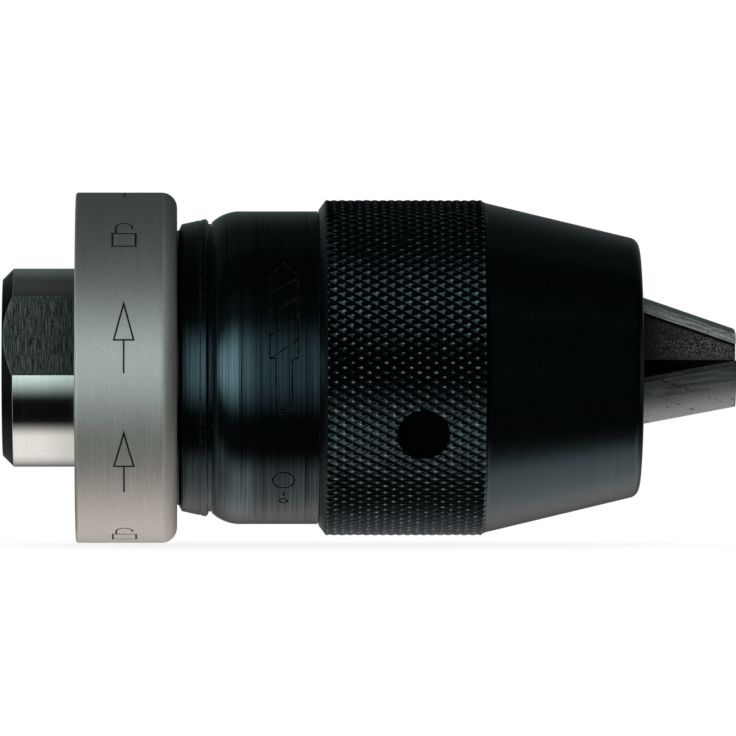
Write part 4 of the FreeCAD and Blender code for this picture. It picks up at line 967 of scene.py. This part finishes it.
def studio_light():
    """A dark studio, given as light from each direction. The camera itself sees plain white.

    A soft cool lamp stands in front, level with the chuck, and a smaller one behind it. Below is a white
    table, above and behind a dim backdrop, and past both ends of the chuck a dim glow. Each is a product
    of steps in the facing angle of a direction, in degrees, and in its part along X.
    """
    world = bpy.data.worlds.new("studio")
    bpy.context.scene.world = world
    tree = Tree(world)
    direction = tree.add("ShaderNodeTexCoord").outputs["Generated"]
    split = tree.add("ShaderNodeSeparateXYZ")
    tree.links.new(direction, split.inputs[0])
    along = split.outputs[0]
    towards = tree.times(split.outputs[1], -1.0)
    facing = tree.times(tree.math("ARCTAN2", split.outputs[2], towards), 180 / math.pi)
    away_from_level = tree.math("ABSOLUTE", facing)
    not_far_left = tree.step(along, -0.99, -0.93)
    not_far_right = tree.step(along, 0.85, 0.55)

    right_half = tree.step(along, 0.34, 0.14, 0.0, 0.8)
    left_half = tree.step(along, 0.0, -0.12, 0.0, 1.4)
    lamp = tree.step(away_from_level, 39.0, 5.0)
    lamp = tree.times(lamp, tree.plus(right_half, left_half), not_far_left)
    rear_lamp = tree.step(away_from_level, 162.0, 176.0)
    rear_lamp = tree.times(rear_lamp, tree.step(along, -0.15, -0.5, 0.12, 1.0), not_far_left)

    table = tree.times(
        tree.step(facing, -65.0, -90.0, 0.0, 0.96),
        tree.step(facing, -170.0, -118.0, 0.12, 1.0),
        tree.step(along, -0.9, -0.7),
        tree.step(along, -0.55, -0.1, 0.45, 1.0),
        tree.step(along, 0.1, 0.42, 1.0, 1.2),
        not_far_right,
    )
    above = tree.plus(
        tree.step(facing, 26.0, 40.0, 0.0, 0.035),
        tree.step(facing, 48.0, 62.0, 0.0, -0.025),
        tree.step(facing, 84.0, 104.0, 0.0, 0.035),
    )
    far = tree.times(
        tree.step(facing, 118.0, 154.0, 0.0, 0.07), tree.step(facing, 180.0, 155.0, 0.4, 1.0)
    )
    backdrop = tree.times(tree.plus(above, far), not_far_left, not_far_right)
    past_ends = tree.step(tree.math("ABSOLUTE", along), 0.92, 0.99, 0.0, END_LIGHT)

    both = tree.add("ShaderNodeAddShader")
    lamps = background(tree, LAMP_COLOUR, tree.plus(lamp, rear_lamp, backdrop))
    whites = background(tree, TABLE_COLOUR, tree.plus(table, past_ends, LEAST_LIGHT))
    tree.links.new(lamps, both.inputs[0])
    tree.links.new(whites, both.inputs[1])
    choose = tree.add("ShaderNodeMixShader")
    tree.links.new(tree.add("ShaderNodeLightPath").outputs["Is Camera Ray"], choose.inputs[0])
    tree.links.new(both.outputs[0], choose.inputs[1])
    tree.links.new(background(tree, PAGE_WHITE), choose.inputs[2])
    output = tree.add("ShaderNodeOutputWorld")
    tree.links.new(choose.outputs[0], output.inputs["Surface"])


def pale_floor():
    """A white table top with a faint contact shadow. Reflections see the studio instead of it."""
    level = cad_box[0].z - FLOOR_GAP * MM
    size = FLOOR_HALF * MM
    mesh = bpy.data.meshes.new("floor")
    corners = [(-size, -size, level), (size, -size, level), (size, size, level), (-size, size, level)]
    mesh.from_pydata(corners, [], [(0, 1, 2, 3)])
    floor = bpy.data.objects.new("floor", mesh)
    bpy.context.scene.collection.objects.link(floor)
    floor.visible_glossy = False
    floor.visible_diffuse = False
    floor.visible_shadow = False
    material = bpy.data.materials.new("floor_white")
    tree = Tree(material)
    shade = tree.add("ShaderNodeAmbientOcclusion", samples=8)
    shade.inputs["Distance"].default_value = SHADOW_REACH * MM
    light = tree.step(shade.outputs["AO"], 0.0, 1.0, SHADOW_WHITE, 1.0)
    glow = tree.add("ShaderNodeEmission")
    tree.links.new(light, glow.inputs["Strength"])
    output = tree.add("ShaderNodeOutputMaterial")
    tree.links.new(glow.outputs[0], output.inputs["Surface"])
    mesh.materials.append(material)


def set_camera():
    """A long lens at the height of the chuck axis, standing left of the middle of its view."""
    camera = bpy.data.cameras.new("camera")
    camera.sensor_width = SENSOR_WIDTH
    camera.lens = SENSOR_WIDTH * CAMERA_DISTANCE / VIEW_WIDTH
    camera.clip_start = NEAREST_SEEN * MM
    camera.clip_end = FARTHEST_SEEN * MM
    holder = bpy.data.objects.new("camera", camera)
    bpy.context.scene.collection.objects.link(holder)
    eye = Vector((CAMERA_PLACE, -CAMERA_DISTANCE, 0.0)) * MM
    aim = Vector((VIEW_CENTRE, 0.0, VIEW_HEIGHT)) * MM
    holder.location = eye
    holder.rotation_euler = (aim - eye).to_track_quat("-Z", "Y").to_euler()
    bpy.context.scene.camera = holder


skins = {"clamping_sleeve": clamping_sleeve_skin(), "chuck_body": chuck_body_skin()}
paint(skins)
studio_light()
pale_floor()
set_camera()
bpy.context.scene.view_settings.view_transform = "Standard"
